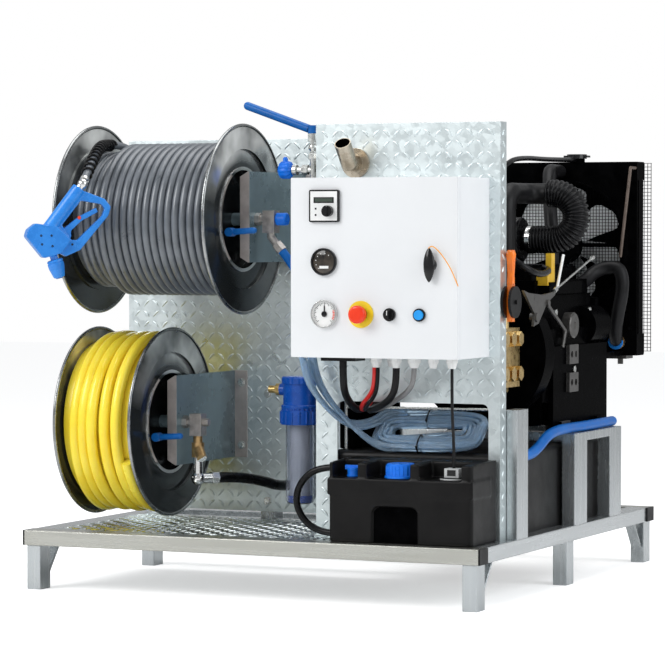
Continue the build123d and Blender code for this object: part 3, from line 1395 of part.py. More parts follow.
def filter_head():
    x, y = FILTER_PLACE
    head = bar_z(x, y, (FILTER_JOINT, FILTER_JOINT + 34), FILTER_HEAD_RADIUS + 4)
    head += bar_z(x, y, (FILTER_JOINT + 34, FILTER_TOP - 8), FILTER_HEAD_RADIUS - 2)
    head += bar_z(x, y, (FILTER_TOP - 8, FILTER_TOP), 0.6 * FILTER_HEAD_RADIUS)
    for number in range(16):
        angle = math.pi * number / 8
        rib_x = x + (FILTER_HEAD_RADIUS + 3) * math.cos(angle)
        rib_y = y + (FILTER_HEAD_RADIUS + 3) * math.sin(angle)
        head += bar_z(rib_x, rib_y, (FILTER_JOINT + 3, FILTER_JOINT + 31), 3)
    head += bar_x((x - FILTER_HEAD_RADIUS - 8, x + FILTER_HEAD_RADIUS + 8), y, FILTER_PORT, PORT_RADIUS)
    head += block(around(x, 50), (y, REEL_PANEL_FRONT), (FILTER_PORT - 22, FILTER_PORT + 22))
    left = x + FILTER_HEAD_RADIUS + 8
    nipple = hexagon(spot(left, y, FILTER_PORT), spot(left + 12, y, FILTER_PORT), PORT_RADIUS)
    nipple += bar_x((left + 12, left + 30), y, FILTER_PORT, PORT_RADIUS - 5)
    return Compound([head, nipple, filter_cartridge()])


def filter_bowl():
    x, y = FILTER_PLACE
    bowl = bar_z(x, y, (FILTER_BOTTOM, FILTER_JOINT), BOWL_RADIUS)
    bowl = fillet(bowl.edges().sort_by(Axis.Z)[0], 10)
    return bowl - bar_z(x, y, (FILTER_BOTTOM + BOWL_WALL, FILTER_JOINT), BOWL_RADIUS - BOWL_WALL)


def filter_cartridge():
    x, y = FILTER_PLACE
    return bar_z(x, y, (FILTER_BOTTOM + BOWL_WALL, FILTER_JOINT), CARTRIDGE_RADIUS)


def engine_spans(width):
    return around(ENGINE_PLACE, width)


def engine_block():
    """Sump, crankcase, flywheel housing, gear case, side feet, alternator and oil filter."""
    block_y = BLOCK_SPAN
    sump = block(engine_spans(BLOCK_WIDTH - 40), (block_y[0] + 40, block_y[1] - 20), (SUMP_BOTTOM, SUMP_TOP))
    sump = fillet(sump.faces().sort_by(Axis.Z)[0].edges(), 12)
    body = sump + block(engine_spans(BLOCK_WIDTH), block_y, (SUMP_TOP, BLOCK_TOP))
    body += block(engine_spans(BLOCK_WIDTH - 40), (block_y[0] + 10, block_y[1] - 10), (BLOCK_TOP, DECK_FACE))
    body += bar_y(ENGINE_PLACE, HOUSING_SPAN, CRANK_HEIGHT, HOUSING_RADIUS)
    case_y = (block_y[1], block_y[1] + GEAR_CASE)
    body += block(engine_spans(BLOCK_WIDTH - 20), case_y, (SUMP_TOP + 10, DECK_FACE - 10))
    body += bar_y(ENGINE_PLACE, (case_y[1], case_y[1] + PULLEY_WIDTH + 8), CRANK_HEIGHT, CRANK_STUB)
    for way in (-1, 1):
        side = ENGINE_PLACE + way * BLOCK_WIDTH / 2
        plate = (side - FOOT_PLATE, side) if way < 0 else (side, side + FOOT_PLATE)
        body += block(plate, (block_y[0] + 40, block_y[1] + 25), (SUMP_BOTTOM, CRANK_HEIGHT + 15))
        for front, depth, top in POSTS[1:]:
            pad_y = around(front + depth / 2, 60)
            body += block(around(mount_place(way), 60), pad_y, (SUMP_BOTTOM, SUMP_BOTTOM + 10))
    x, z = ALTERNATOR_PLACE
    body += bar_y(x, (block_y[1] - 90, case_y[1]), z, ALTERNATOR_RADIUS)
    body += bar_y(x, (case_y[1], case_y[1] + PULLEY_WIDTH + 4), z, CRANK_STUB / 2)
    side = ENGINE_PLACE - BLOCK_WIDTH / 2 - FOOT_PLATE
    parts = [body]
    for z in (CRANK_HEIGHT - 6, CRANK_HEIGHT - 73):
        lug = block((side - 8, side), around(724, 62), around(z, 46))
        for y in (710, 738):
            lug -= bar_x((side - 8, side), y, z, 8)
        parts.append(lug)
    return Compound(parts + engine_mounts())


def mount_place(way):
    return MOUNT_PLACES[0] if way < 0 else MOUNT_PLACES[1]


def engine_mounts():
    """Rubber blocks between the tank frame and the engine feet."""
    mounts = []
    for x in MOUNT_PLACES:
        for front, depth, top in POSTS[1:]:
            mounts.append(bar_z(x, front + depth / 2, (top, SUMP_BOTTOM), MOUNT_RADIUS))
    return mounts


def cylinder_head():
    """Head, rocker cover with filler cap, manifold along the right side and the intake pipe."""
    y = (BLOCK_SPAN[0] + 16, BLOCK_SPAN[1] - 16)
    head = block(engine_spans(BLOCK_WIDTH - 52), y, (DECK_FACE, HEAD_TOP))
    cover = block(engine_spans(BLOCK_WIDTH - 90), (y[0] + 14, y[1] - 14), (HEAD_TOP, ROCKER_TOP))
    cover = fillet(cover.edges().filter_by(Axis.Z) + cover.faces().sort_by(Axis.Z)[-1].edges(), 14)
    head += cover
    side = ENGINE_PLACE - (BLOCK_WIDTH - 52) / 2
    head += block((side - 26, side), (y[0] + 30, y[1] - 110), (DECK_FACE + 4, HEAD_TOP - 4))
    head += bar_z(ENGINE_PLACE, BLOCK_SPAN[0] + 60, (ROCKER_TOP, ROCKER_TOP + 16), 22)
    return Compound([head, intake_pipe()])


def pulley_span():
    face = BLOCK_SPAN[1] + GEAR_CASE + 4
    return (face, face + PULLEY_WIDTH)


def belt_pulley(place, radius, shaft):
    """Flanged pulley running free on its shaft stub."""
    x, z = place
    y = pulley_span()
    seat = radius - BELT_SHEET / 2
    wheel = bar_y(x, y, z, seat)
    for flange in ((y[0], y[0] + 4), (y[1] - 4, y[1])):
        wheel += bar_y(x, flange, z, radius)
    return wheel - bar_y(x, y, z, shaft + RUN_FIT)


def crank_pulley():
    return belt_pulley((ENGINE_PLACE, CRANK_HEIGHT), PULLEY_RADIUS, CRANK_STUB)


def alternator_pulley():
    return belt_pulley(ALTERNATOR_PLACE, ALTERNATOR_PULLEY, CRANK_STUB / 2)


def belt_outline(extra):
    """Outline round both pulleys: two arcs and their two outer tangents, as one face."""
    plane = Plane(origin=(RIGHT, FRONT + pulley_span()[0], 0), x_dir=(-1, 0, 0), z_dir=(0, 1, 0))
    seat = extra - BELT_SHEET / 2
    big = Pos(ENGINE_PLACE, CRANK_HEIGHT) * Circle(PULLEY_RADIUS + seat)
    small = Pos(*ALTERNATOR_PLACE) * Circle(ALTERNATOR_PULLEY + seat)
    return plane * make_hull(big.edges() + small.edges())


def drive_belt():
    y = pulley_span()
    rim = (y[0] + 4 + BELT_GAP, y[1] - 4 - BELT_GAP)
    outer = extrude(belt_outline(BELT_GAP + BELT_SHEET), rim[1] - rim[0], dir=(0, 1, 0))
    inner = extrude(belt_outline(BELT_GAP), rim[1] - rim[0], dir=(0, 1, 0))
    return Pos(0, rim[0] - y[0], 0) * (outer - inner)


def pressure_pump():
    """Pump crankcase on a bell, its valve block with two rows of caps and the unloader."""
    x = engine_spans(PUMP_WIDTH)
    body = fillet(block(x, PUMP_SPAN, PUMP_HEIGHTS).edges().filter_by(Axis.Y), 14)
    body += bar_y(ENGINE_PLACE, (PUMP_SPAN[1], HOUSING_SPAN[0]), CRANK_HEIGHT, 88)
    head = block((x[0] - 28, x[0]), PUMP_SPAN, (PUMP_HEIGHTS[0] + 24, PUMP_HEIGHTS[1] - 30))
    face = x[0] - 28
    parts = [body, head]
    for z in VALVE_CAP_ROWS:
        for y in VALVE_CAPS:
            parts.append(hexagon(spot(face, y, z), spot(face - 14, y, z), VALVE_CAP_RADIUS))
    top = PUMP_HEIGHTS[1] - 30
    x, y = face + 14, VALVE_CAPS[1]
    unloader = bar_z(x, y, (top, top + 34), 13)
    unloader += hexagon(spot(x, y, top + 34), spot(x, y, top + 48), 16)
    return Compound(parts + [unloader])


def flange_face():
    return CONTROL_PANEL_RIGHT


def throttle_mount():
    """Friction discs and pin of the throttle lever, bolted to the outside of the flange."""
    y, z = THROTTLE_PLACE
    face = flange_face()
    inner = (face - THROTTLE_SHEET, face)
    gap = THROTTLE_LEVER + 2 * SIDE_PLAY
    outer = (inner[0] - gap - THROTTLE_SHEET, inner[0] - gap)
    mount = bar_x(inner, y, z, THROTTLE_DISC) + bar_x(outer, y, z, THROTTLE_DISC)
    return mount + bar_x((outer[0] - 4, face), y, z, THROTTLE_PIN)


def throttle_lever():
    y, z = THROTTLE_PLACE
    side = flange_face() - THROTTLE_SHEET - SIDE_PLAY
    x = (side - THROTTLE_LEVER, side)
    top = z + THROTTLE_REACH
    outline = [(y - 8, z - 44), (y + 8, z - 44), (y + 12, z), (y + 7, z + 62), (y + 13, top - 14),
               (y + 8, top), (y - 6, top), (y - 11, top - 14), (y - 6, z + 62), (y - 12, z)]
    lever = sheet_yz(outline, x)
    return lever - bar_x(x, y, z, THROTTLE_PIN + RUN_FIT)


def air_cleaner():
    """Canister on a bracket over the rocker cover, with its outlet neck and clamp."""
    y, z = CLEANER_PLACE
    can = bar_x(CLEANER_SPAN, y, z, CLEANER_RADIUS)
    can = fillet(can.edges().filter_by(GeomType.CIRCLE), 8)
    can += bar_x((CLEANER_SPAN[0] + 30, CLEANER_SPAN[0] + 42), y, z, CLEANER_RADIUS + 3)
    can += bar_x(CLEANER_NECK, y, z, AIR_BORE)
    foot = (CLEANER_SPAN[0] + 10, CLEANER_SPAN[0] + 65)
    return can + block(foot, around(y, 60), (ROCKER_TOP, z - CLEANER_RADIUS / 2))


def air_station(length):
    """Point and direction along the corrugated hose: out, round a half turn, and back."""
    y, z = CLEANER_PLACE
    run = CLEANER_NECK[0] - AIR_TURN_PLACE
    turn = math.pi * AIR_TURN_RADIUS
    if length <= run:
        return spot(CLEANER_NECK[0] - length, y, z), Vector(1, 0, 0)
    if length <= run + turn:
        angle = (length - run) / AIR_TURN_RADIUS
        point = spot(AIR_TURN_PLACE - AIR_TURN_RADIUS * math.sin(angle), y,
                     z + AIR_TURN_RADIUS * (1 - math.cos(angle)))
        return point, Vector(math.cos(angle), 0, math.sin(angle))
    return spot(AIR_TURN_PLACE + length - run - turn, y, z + 2 * AIR_TURN_RADIUS), Vector(-1, 0, 0)


def air_section(length, radius):
    point, way = air_station(length)
    return Plane(origin=point, x_dir=(0, 1, 0), z_dir=way) * Circle(radius)


def air_length():
    return (CLEANER_NECK[0] - AIR_TURN_PLACE + math.pi * AIR_TURN_RADIUS + AIR_HOSE_END - AIR_TURN_PLACE)


def air_hose():
    """Corrugated hose: each rib is a valley and a crest joined by ruled flanks."""
    pitch = air_length() / AIR_RIBS
    rib = ((0.0, VALLEY_RADIUS), (0.25, VALLEY_RADIUS), (0.45, CREST_RADIUS), (0.8, CREST_RADIUS))
    sections = []
    for number in range(AIR_RIBS):
        for share, radius in rib:
            sections.append(air_section((number + share) * pitch, radius))
    sections.append(air_section(air_length(), VALLEY_RADIUS))
    outer = loft(sections, ruled=True)
    first, way = air_station(0)
    turn_start, way = air_station(CLEANER_NECK[0] - AIR_TURN_PLACE)
    turn_end, back = air_station(air_length() - (AIR_HOSE_END - AIR_TURN_PLACE))
    last, back = air_station(air_length())
    turn = TangentArc(turn_start, turn_end, tangent=way)
    path = Wire([Line(first, turn_start), turn, Line(turn_end, last)])
    return outer - swept_tube(path, AIR_BORE)


def intake_pipe():
    """Pipe from the corrugated hose forward and down to the rocker cover."""
    y, z = CLEANER_PLACE
    high = z + 2 * AIR_TURN_RADIUS
    corner_x, corner_y = INTAKE_CORNERS
    points = [spot(AIR_HOSE_END, y, high), spot(corner_x, y, high), spot(corner_x, corner_y, high),
              spot(corner_x, corner_y, ROCKER_TOP)]
    return swept_tube(FilletPolyline(*points, radius=INTAKE_BEND), INTAKE_RADIUS)


def radiator():
    """Core between two tanks, a fan shroud with its motor on four arms, and support arms."""
    low, core_low, core_high, high = RADIATOR_HEIGHTS
    x = RADIATOR_SPAN
    tank_y = (RADIATOR_FRONT - RADIATOR_LIP, RADIATOR_BACK + RADIATOR_LIP)
    core = block(x, (RADIATOR_FRONT, RADIATOR_BACK), (core_low, core_high))
    tanks = []
    for z in ((low, core_low), (core_high, high)):
        tank = block(x, tank_y, z)
        tanks.append(fillet(tank.edges().filter_by(Axis.X), 8))
    neck = (high, high + FILLER_HEIGHT)
    tanks[1] += bar_z(*FILLER_PLACE, neck, FILLER_RADIUS)
    tanks[1] -= bar_z(*FILLER_PLACE, (neck[1] - STEM_LENGTH, neck[1]), STEM_RADIUS + RUN_FIT)
    shroud_y = (tank_y[0] - SHROUD_SHEET, tank_y[0])
    fan_x, fan_z = FAN_PLACE
    shroud = block(x, shroud_y, (low, high))
    lip = (shroud_y[0] - SHROUD_DEPTH, shroud_y[0])
    shroud += bar_y(fan_x, lip, fan_z, SHROUD_RADIUS + SHROUD_SHEET)
    shroud -= bar_y(fan_x, (lip[0], shroud_y[1]), fan_z, SHROUD_RADIUS)
    arm_y = (lip[0], lip[0] + MOTOR_ARM[1])
    reach = SHROUD_RADIUS + SHROUD_SHEET / 2
    arms = block((fan_x - reach, fan_x + reach), arm_y, around(fan_z, MOTOR_ARM[0]))
    arms += block(around(fan_x, MOTOR_ARM[0]), arm_y, (fan_z - reach, fan_z + reach))
    shroud += arms + bar_y(fan_x, MOTOR_SPAN, fan_z, MOTOR_RADIUS)
    shroud -= bar_y(fan_x, (MOTOR_SPAN[1] - STEM_LENGTH, MOTOR_SPAN[1]), fan_z, STEM_RADIUS + RUN_FIT)
    side = ENGINE_PLACE - BLOCK_WIDTH / 2
    for arm in ((side - FOOT_PLATE, side), around(ENGINE_PLACE + BLOCK_WIDTH / 3, 30)):
        shroud += block(arm, (BLOCK_SPAN[1] + GEAR_CASE, shroud_y[0]), (low, low + FOOT_PLATE))
    return Compound([core, shroud] + tanks)


def cooling_fan():
    """Hub with twisted-back flat blades on a short stem in the motor."""
    x, z = FAN_PLACE
    middle = sum(FAN_SPAN) / 2
    stem = (MOTOR_SPAN[1] - STEM_LENGTH + 1, FAN_SPAN[0])
    fan = bar_y(x, FAN_SPAN, z, FAN_HUB) + bar_y(x, stem, z, STEM_RADIUS)
    width, sheet, pitch_angle = FAN_BLADE
    for number in range(FAN_BLADES):
        blade = Pos(0, 0, (FAN_RADIUS + FAN_HUB - 8) / 2) * Rot(0, 0, pitch_angle) * Box(
            width, sheet, FAN_RADIUS - FAN_HUB + 8)
        fan += Pos(spot(x, middle, z)) * Rot(0, 360 * number / FAN_BLADES, 0) * blade
    return fan


def radiator_cap():
    seat = RADIATOR_HEIGHTS[3] + FILLER_HEIGHT + SIDE_PLAY
    x, y = FILLER_PLACE
    cap = bar_z(x, y, (seat, seat + FILLER_CAP_HEIGHT), FILLER_CAP)
    cap += block(around(x, 2.5 * FILLER_CAP), around(y, FILLER_CAP), (seat + 3, seat + 8))
    return cap + bar_z(x, y, (seat - STEM_LENGTH + 1, seat), STEM_RADIUS)


def grid_pitch(span, count, bar):
    return (span[1] - span[0] - bar) / count


def wire_grid(x, front, z, counts, bar):
    """Flat grid of square bars, standing across the machine."""
    width, height = x[1] - x[0], z[1] - z[0]
    pitch = (grid_pitch(x, counts[0], bar), grid_pitch(z, counts[1], bar))
    gap = Rectangle(pitch[0] - bar, pitch[1] - bar)
    face = Rectangle(width, height) - GridLocations(*pitch, *counts) * gap
    middle = spot(sum(x) / 2, front, sum(z) / 2)
    plane = Plane(origin=middle, x_dir=(1, 0, 0), z_dir=(0, 1, 0))
    return extrude(plane * face, GUARD_SHEET, dir=(0, 1, 0))


def radiator_guard():
    """Wire grids behind the radiator and before the fan, on spacers, and a slanted stay."""
    rear = wire_grid(GUARD_SPAN, GUARD_FRONT, GUARD_HEIGHTS, GUARD_GRID, GUARD_BAR)
    back = RADIATOR_BACK + RADIATOR_LIP
    low, core_low, core_high, high = RADIATOR_HEIGHTS
    reach = 6 * grid_pitch(GUARD_SPAN, GUARD_GRID[0], GUARD_BAR)
    for x in around(sum(GUARD_SPAN) / 2, 2 * reach):
        for z in ((low + core_low) / 2, (core_high + high) / 2):
            rear += bar_y(x, (back, GUARD_FRONT + GUARD_SHEET), z, GUARD_SPACER)
    front = wire_grid(FAN_GUARD_SPAN, FAN_GUARD_FRONT, FAN_GUARD_HEIGHTS, FAN_GUARD_GRID, FAN_GUARD_BAR)
    depth = (FAN_GUARD_FRONT, FAN_GUARD_FRONT + GUARD_SHEET)
    front -= bar_y(FAN_PLACE[0], depth, FAN_PLACE[1], MOTOR_RADIUS + FAN_GUARD_CLEAR)
    seat = RADIATOR_FRONT - RADIATOR_LIP - SHROUD_SHEET
    parts = []
    for x in FAN_GUARD_SPAN:
        for z in FAN_GUARD_HEIGHTS:
            parts.append(bar_y(x, (FAN_GUARD_FRONT, seat), z, GUARD_SPACER))
            front -= parts[-1]
    line = FAN_GUARD_FRONT - STAY_RADIUS
    top = spot(STAY_TOP[0], line, STAY_TOP[1])
    stay = rod(top, spot(STAY_FOOT[0], line, STAY_FOOT[1]), STAY_RADIUS)
    stay += bar_y(STAY_TOP[0], (line, seat), STAY_TOP[1], STAY_RADIUS)
    return Compound([rear, front, stay] + parts)


def rubber_hoses():
    """Tank loop, reel inlet hose and both coolant hoses."""
    side = WELL_TANK_RIGHT + WELL_TANK_WIDTH
    y = WELL_TANK_FRONT + 62
    hoses = [cord([(side, y, 300), (side + 34, y, 300), (side + 78, y, 284), (side + 106, y, 246),
                   (side + 106, y, 204), (side + 78, y, 166), (side + 34, y, 150), (side, y, 150)],
                  TANK_HOSE_RADIUS, "tank loop")]
    x, y, foot = swivel_foot(WATER_DISC, WATER_AXIS)
    z = ELBOW_HEIGHT
    near, far = ELBOW_WAY * ELBOW_REACH, ELBOW_WAY * 2 * ELBOW_REACH
    hole_x, hole_z = HOSE_HOLE
    back = REEL_PANEL_FRONT
    hoses.append(cord([(x - near.X, y + near.Y, z), (x - far.X, y + far.Y, z),
                       (hole_x + 14, back - 120, (z + hole_z) / 2 + 2), (hole_x, back - 52, hole_z),
                       (hole_x, back + PANEL_SHEET + 34, hole_z)], INLET_HOSE_RADIUS, "reel inlet"))
    low, core_low, core_high, high = RADIATOR_HEIGHTS
    front = RADIATOR_FRONT - RADIATOR_LIP - SHROUD_SHEET
    x, y, z = ENGINE_PLACE - 32, BLOCK_SPAN[1] - 52, ROCKER_TOP
    top = (core_high + high) / 2
    hoses.append(cord([(x, y, z), (x, y, z + 60), (x + 12, y + 18, z + 126), (x + 32, y + 66, z + 188),
                       (x + 50, front - 90, top + 1), (x + 54, front - 44, top), (x + 54, front, top)],
                      COOLANT_HOSE_RADIUS, "upper coolant hose"))
    x, y, z = ENGINE_PLACE - 75, BLOCK_SPAN[1] - 16, (DECK_FACE + HEAD_TOP) / 2
    line, turn = front - 53, z + 45
    hoses.append(cord([(x, y, z), (x, y + 56, z), (x - 24, line, turn), (x - 100, line, turn),
                       (x - 60, line, low + 34), (x - 60, front, low + 34)],
                      COOLANT_HOSE_RADIUS, "lower coolant hose"))
    return Compound(hoses)


def blue_hoses():
    """High-pressure hose from the upper swivel to the pump and the line along the tank frame."""
    end = nipple_places()[-1]
    x, y, z = RIGHT - end.X, REEL_LINE, end.Z
    pump_side = ENGINE_PLACE + PUMP_WIDTH / 2
    port = z - 275
    hoses = [cord([(x, y, z), (x - NIPPLE_WAY.X * 42, y, z + NIPPLE_WAY.Z * 42), (x - 47, y + 12, z - 82),
                   (x - 60, y + 31, z - 155), (x - 70, y + 55, z - 235), (x - 92, y + 78, z - 300),
                   (x - 142, y + 98, port - 43), (pump_side + 70, y + 125, port), (pump_side, y + 125, port)],
                  PUMP_HOSE_RADIUS, "pump hose")]
    line = CAP_SHEET + POST_THICK / 2
    first = POSTS[0][0] + POSTS[0][1]
    top = POSTS[1][2] + LINE_HOSE_RADIUS + LAYER_GAP
    hoses.append(cord([(line, first, top - 47), (line, first + 50, top - 47), (line, first + 110, top - 34),
                       (line, first + 170, top - 8), (line, first + 240, top), (line + 3, first + 330, top),
                       (line - 2, first + 430, top), (line, first + 530, top), (line + 3, first + 640, top)],
                      LINE_HOSE_RADIUS, "blue line"))
    return Compound(hoses)


def hank_point(along, across, rise):
    """Point of the hank: along the rail, up its lean and out of its plane."""
    lean = math.radians(HANK_LEAN)
    up = Vector(0, math.cos(lean), math.sin(lean))
    out = Vector(0, -math.sin(lean), math.cos(lean))
    return spot(*HANK_MIDDLE) + Vector(along, 0, 0) + up * across + out * rise


def hank_stations():
    """Strands of the hank from the outside in on one layer and out again on the next."""
    half = HANK_PITCH / 2
    reach = HANK_REACH
    levels = [-reach, reach - half, -reach + 2 * half, reach - 3 * half,
              -reach + 2 * half, reach - half, -reach, reach + half]
    rises = [0, 0, 0, 0, HANK_PITCH, HANK_PITCH, HANK_PITCH, HANK_PITCH]
    right = Vector(1, 0, 0)
    stations = []
    for number, level in enumerate(levels):
        way = right if number % 2 == 0 else -right
        end = HANK_RUN / 2 * (1 if number % 2 == 0 else -1)
        start_rise = rises[number]
        end_rise = rises[number + 1] if number + 1 < len(rises) else start_rise
        stations.append((hank_point(-end, level, start_rise), way))
        stations.append((hank_point(end, level, end_rise), way))
        if number + 1 < len(levels):
            after = levels[number + 1]
            middle = (level + after) / 2
            radius = abs(after - level) / 2
            side = 1 if end > 0 else -1
            turn = (hank_point(0, after, 0) - hank_point(0, level, 0)).normalized()
            stations.append((hank_point(end + side * radius, middle, end_rise), turn))
    return stations


def clear_hoses():
    """Hank of clear hose and the two strands that come down to it beside the cabinet."""
    stations = hank_stations()
    hank = swept_tube(arc_path(stations), CLEAR_HOSE / 2)
    x, y = VALVE_PLACE
    start_in = stations[0][0]
    start_out = stations[-1][0]
    first = (RIGHT - start_in.X, start_in.Y - FRONT, start_in.Z)
    last = (RIGHT - start_out.X, start_out.Y - FRONT, start_out.Z)
    strand_in = cord([(x, y, VALVE_FOOT), (x, y, VALVE_FOOT - 60), (x - 8, y - 26, VALVE_FOOT - 140),
                      (x - 16, y - 54, VALVE_FOOT - 230), (x - 20, y - 64, VALVE_FOOT - 310),
                      (x - 30, y - 64, VALVE_FOOT - 372), (x - 58, y - 56, VALVE_FOOT - 428),
                      (x - 96, y - 38, VALVE_FOOT - 476), (x - 132, y - 12, first[2] + 24),
                      (first[0] + 30, first[1], first[2]), first], CLEAR_HOSE / 2, "clear strand in")
    strand_out = cord([(x - 16, y - 92, CABINET_BOTTOM - 8), (x - 24, y - 88, CABINET_BOTTOM - 60),
                       (x - 50, y - 74, CABINET_BOTTOM - 106), (x - 84, y - 50, CABINET_BOTTOM - 146),
                       (x - 112, y - 10, CABINET_BOTTOM - 166), (x - 140, y + 40, last[2] - 22),
                       (last[0] + 40, last[1], last[2]), last], CLEAR_HOSE / 2, "clear strand out")
    return Compound([hank, strand_in, strand_out])


NODES = {
    "base_rails": base_rails,
    "rail_end_caps": rail_end_caps,
    "legs": legs,
    "deck_plate": deck_plate,
    "control_panel": control_panel,
    "reel_panel": reel_panel,
    "panel_bolts": panel_bolts,
    "frame_posts": frame_posts,
    "water_tank": water_tank,
    "front_tank": well_tank,
    "tank_cap": tank_cap,
    "tank_tap": tank_tap,
    "level_sender": level_sender,
    "cabinet_shell": cabinet_shell,
    "cabinet_door": cabinet_door,
    "control_gear": control_gear,
    "controller_knob": controller_knob,
    "door_instruments": door_instruments,
    "gauge_pointer": gauge_pointer,
    "estop_button": estop_button,
    "mode_switch": mode_switch,
    "start_button": start_button,
    "door_handle": door_handle,
    "cable_glands": cable_glands,
    "cabinet_cables": cabinet_cables,
    "pressure_reel": pressure_reel,
    "pressure_hose": pressure_hose,
    "water_reel": water_reel,
    "water_hose": water_hose,
    "reel_brackets": reel_brackets,
    "reel_swivels": reel_swivels,
    "pressure_brake_lever": lambda: brake_lever(PRESSURE_DISC, PRESSURE_AXIS),
    "water_brake_lever": lambda: brake_lever(WATER_DISC, WATER_AXIS),
    "gun_body": gun_body,
    "gun_trigger": gun_trigger,
    "gun_collar": gun_collar,
    "gun_hose": gun_hose,
    "bend_guard": bend_guard,
    "bypass_valve": bypass_valve,
    "bypass_lever": bypass_lever,
    "bypass_knob": bypass_knob,
    "exhaust_pipe": exhaust_pipe,
    "filter_head": filter_head,
    "filter_bowl": filter_bowl,
    "engine_block": engine_block,
    "cylinder_head": cylinder_head,
    "crank_pulley": crank_pulley,
    "alternator_pulley": alternator_pulley,
    "drive_belt": drive_belt,
    "pressure_pump": pressure_pump,
    "throttle_lever": throttle_lever,
    "air_cleaner": air_cleaner,
    "air_hose": air_hose,
    "radiator": radiator,
    "cooling_fan": cooling_fan,
    "radiator_cap": radiator_cap,
    "radiator_guard": radiator_guard,
    "rubber_hoses": rubber_hoses,
    "blue_hoses": blue_hoses,
    "clear_hoses": clear_hoses,
}

os.makedirs("parts", exist_ok=True)
for node, make in NODES.items():
    export_step(make(), f"parts/{node}.step")
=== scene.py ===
# %% [markdown]
# # Diesel pressure washer on a skid
# The solids of the machine arrive from the CAD step as a fixed frame. This lesson dresses them:
# finishes first, then the hoses and cables, then the small pieces that make each part look real.
# Every new piece is tied to a moving body of the frame, so the machine can still be posed.

# %% Load the frame
import json
import math

import bmesh
import bpy
from mathutils import Matrix, Vector

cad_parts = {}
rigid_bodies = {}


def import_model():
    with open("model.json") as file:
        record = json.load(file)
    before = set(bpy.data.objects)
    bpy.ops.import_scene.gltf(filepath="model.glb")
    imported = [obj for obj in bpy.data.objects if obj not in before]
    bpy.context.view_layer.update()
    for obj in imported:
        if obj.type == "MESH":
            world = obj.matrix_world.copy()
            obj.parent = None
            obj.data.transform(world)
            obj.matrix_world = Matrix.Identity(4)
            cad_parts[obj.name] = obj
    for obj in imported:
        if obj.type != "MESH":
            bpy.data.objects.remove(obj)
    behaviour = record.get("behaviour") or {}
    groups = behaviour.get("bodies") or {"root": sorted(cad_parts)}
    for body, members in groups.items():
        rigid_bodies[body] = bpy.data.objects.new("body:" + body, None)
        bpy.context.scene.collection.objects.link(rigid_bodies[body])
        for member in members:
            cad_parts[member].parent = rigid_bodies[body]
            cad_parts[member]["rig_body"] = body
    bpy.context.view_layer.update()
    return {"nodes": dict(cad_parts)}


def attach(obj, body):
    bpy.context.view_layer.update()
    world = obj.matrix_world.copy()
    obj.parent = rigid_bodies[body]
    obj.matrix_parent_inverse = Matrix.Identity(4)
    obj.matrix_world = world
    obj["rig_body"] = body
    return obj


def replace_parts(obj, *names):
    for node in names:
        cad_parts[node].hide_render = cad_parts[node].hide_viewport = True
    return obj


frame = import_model()
nodes = frame["nodes"]

# %% [markdown]
# ## Measuring from the skid
# The drawing measures in millimetres: left of the base's right end, behind its front face and above
# the floor. One small function turns such a place into a Blender point in metres, so the numbers of
# the drawing can be used as they are.

# %% Places
RIGHT_END = 570.0
FRONT_FACE = -593.0


def spot(x, y, z):
    """Blender point of a place on the skid, given in millimetres."""
    return Vector((RIGHT_END - x, FRONT_FACE + y, z)) / 1000.0


def route(places):
    return [spot(*place) for place in places]


def placed(name, data):
    """A new object in the scene from a mesh, a curve, a lamp or a camera."""
    made = bpy.data.objects.new(name, data)
    bpy.context.scene.collection.objects.link(made)
    return made


print("base corner:", spot(0, 0, 0)[:])

# %% [markdown]
# ## Camera
# The photograph was taken from about eight metres with a long lens, a little to the right of the
# cabinet and level with it. A long lens keeps the upright edges nearly parallel. The place and the
# lens were solved from the corners of the base, the panels and the cabinet.

# %% Camera
CAMERA_PLACE = (3.0678, -6.9867, 0.8273)
TURNED_LEFT = math.radians(24.02)
LOOKING_DOWN = math.radians(1.80)
LENS = 170.85

camera_data = bpy.data.cameras.new("camera")
camera_data.lens = LENS
camera_data.sensor_width = 36.0
camera = placed("camera", camera_data)
camera.location = CAMERA_PLACE
camera.rotation_euler = (math.pi / 2 - LOOKING_DOWN, 0.0, TURNED_LEFT)
bpy.context.scene.camera = camera
bpy.context.scene.view_settings.view_transform = "Standard"
print("camera at", CAMERA_PLACE, "lens", LENS)

# %% [markdown]
# ## Studio
# A white room: a pale floor, a white world and three large soft lamps. The world shows white to the
# camera and through clear parts, and the floor glows to the camera, but both light the object more
# gently, so colours stay as written.


# %% Node helpers
def add(tree, kind, **values):
    """A new node of a tree. Each value sets an input, with _ for a space in its name."""
    node = tree.nodes.new(kind)
    for label, value in values.items():
        node.inputs[label.replace("_", " ")].default_value = value
    return node


def wire(tree, *pairs):
    for source, target in pairs:
        tree.links.new(source, target)


# %% World
AMBIENT = 0.49
AMBIENT_TINT = (0.97, 0.985, 1.0, 1.0)
WHITE = (1.0, 1.0, 1.0, 1.0)

world = bpy.data.worlds.new("white_room")
bpy.context.scene.world = world
world.use_nodes = True
sky = world.node_tree
sky.nodes.clear()
sky_out = add(sky, "ShaderNodeOutputWorld")
ambient = add(sky, "ShaderNodeBackground", Color=AMBIENT_TINT, Strength=AMBIENT)
seen = add(sky, "ShaderNodeBackground", Color=WHITE)
rays = add(sky, "ShaderNodeLightPath")
either = add(sky, "ShaderNodeMath")
either.operation = "MAXIMUM"
which = add(sky, "ShaderNodeMixShader")
wire(sky, (rays.outputs["Is Camera Ray"], either.inputs[0]),
     (rays.outputs["Is Transmission Ray"], either.inputs[1]),
     (either.outputs[0], which.inputs["Fac"]), (ambient.outputs[0], which.inputs[1]),
     (seen.outputs[0], which.inputs[2]), (which.outputs[0], sky_out.inputs["Surface"]))
print("world lights with", AMBIENT)

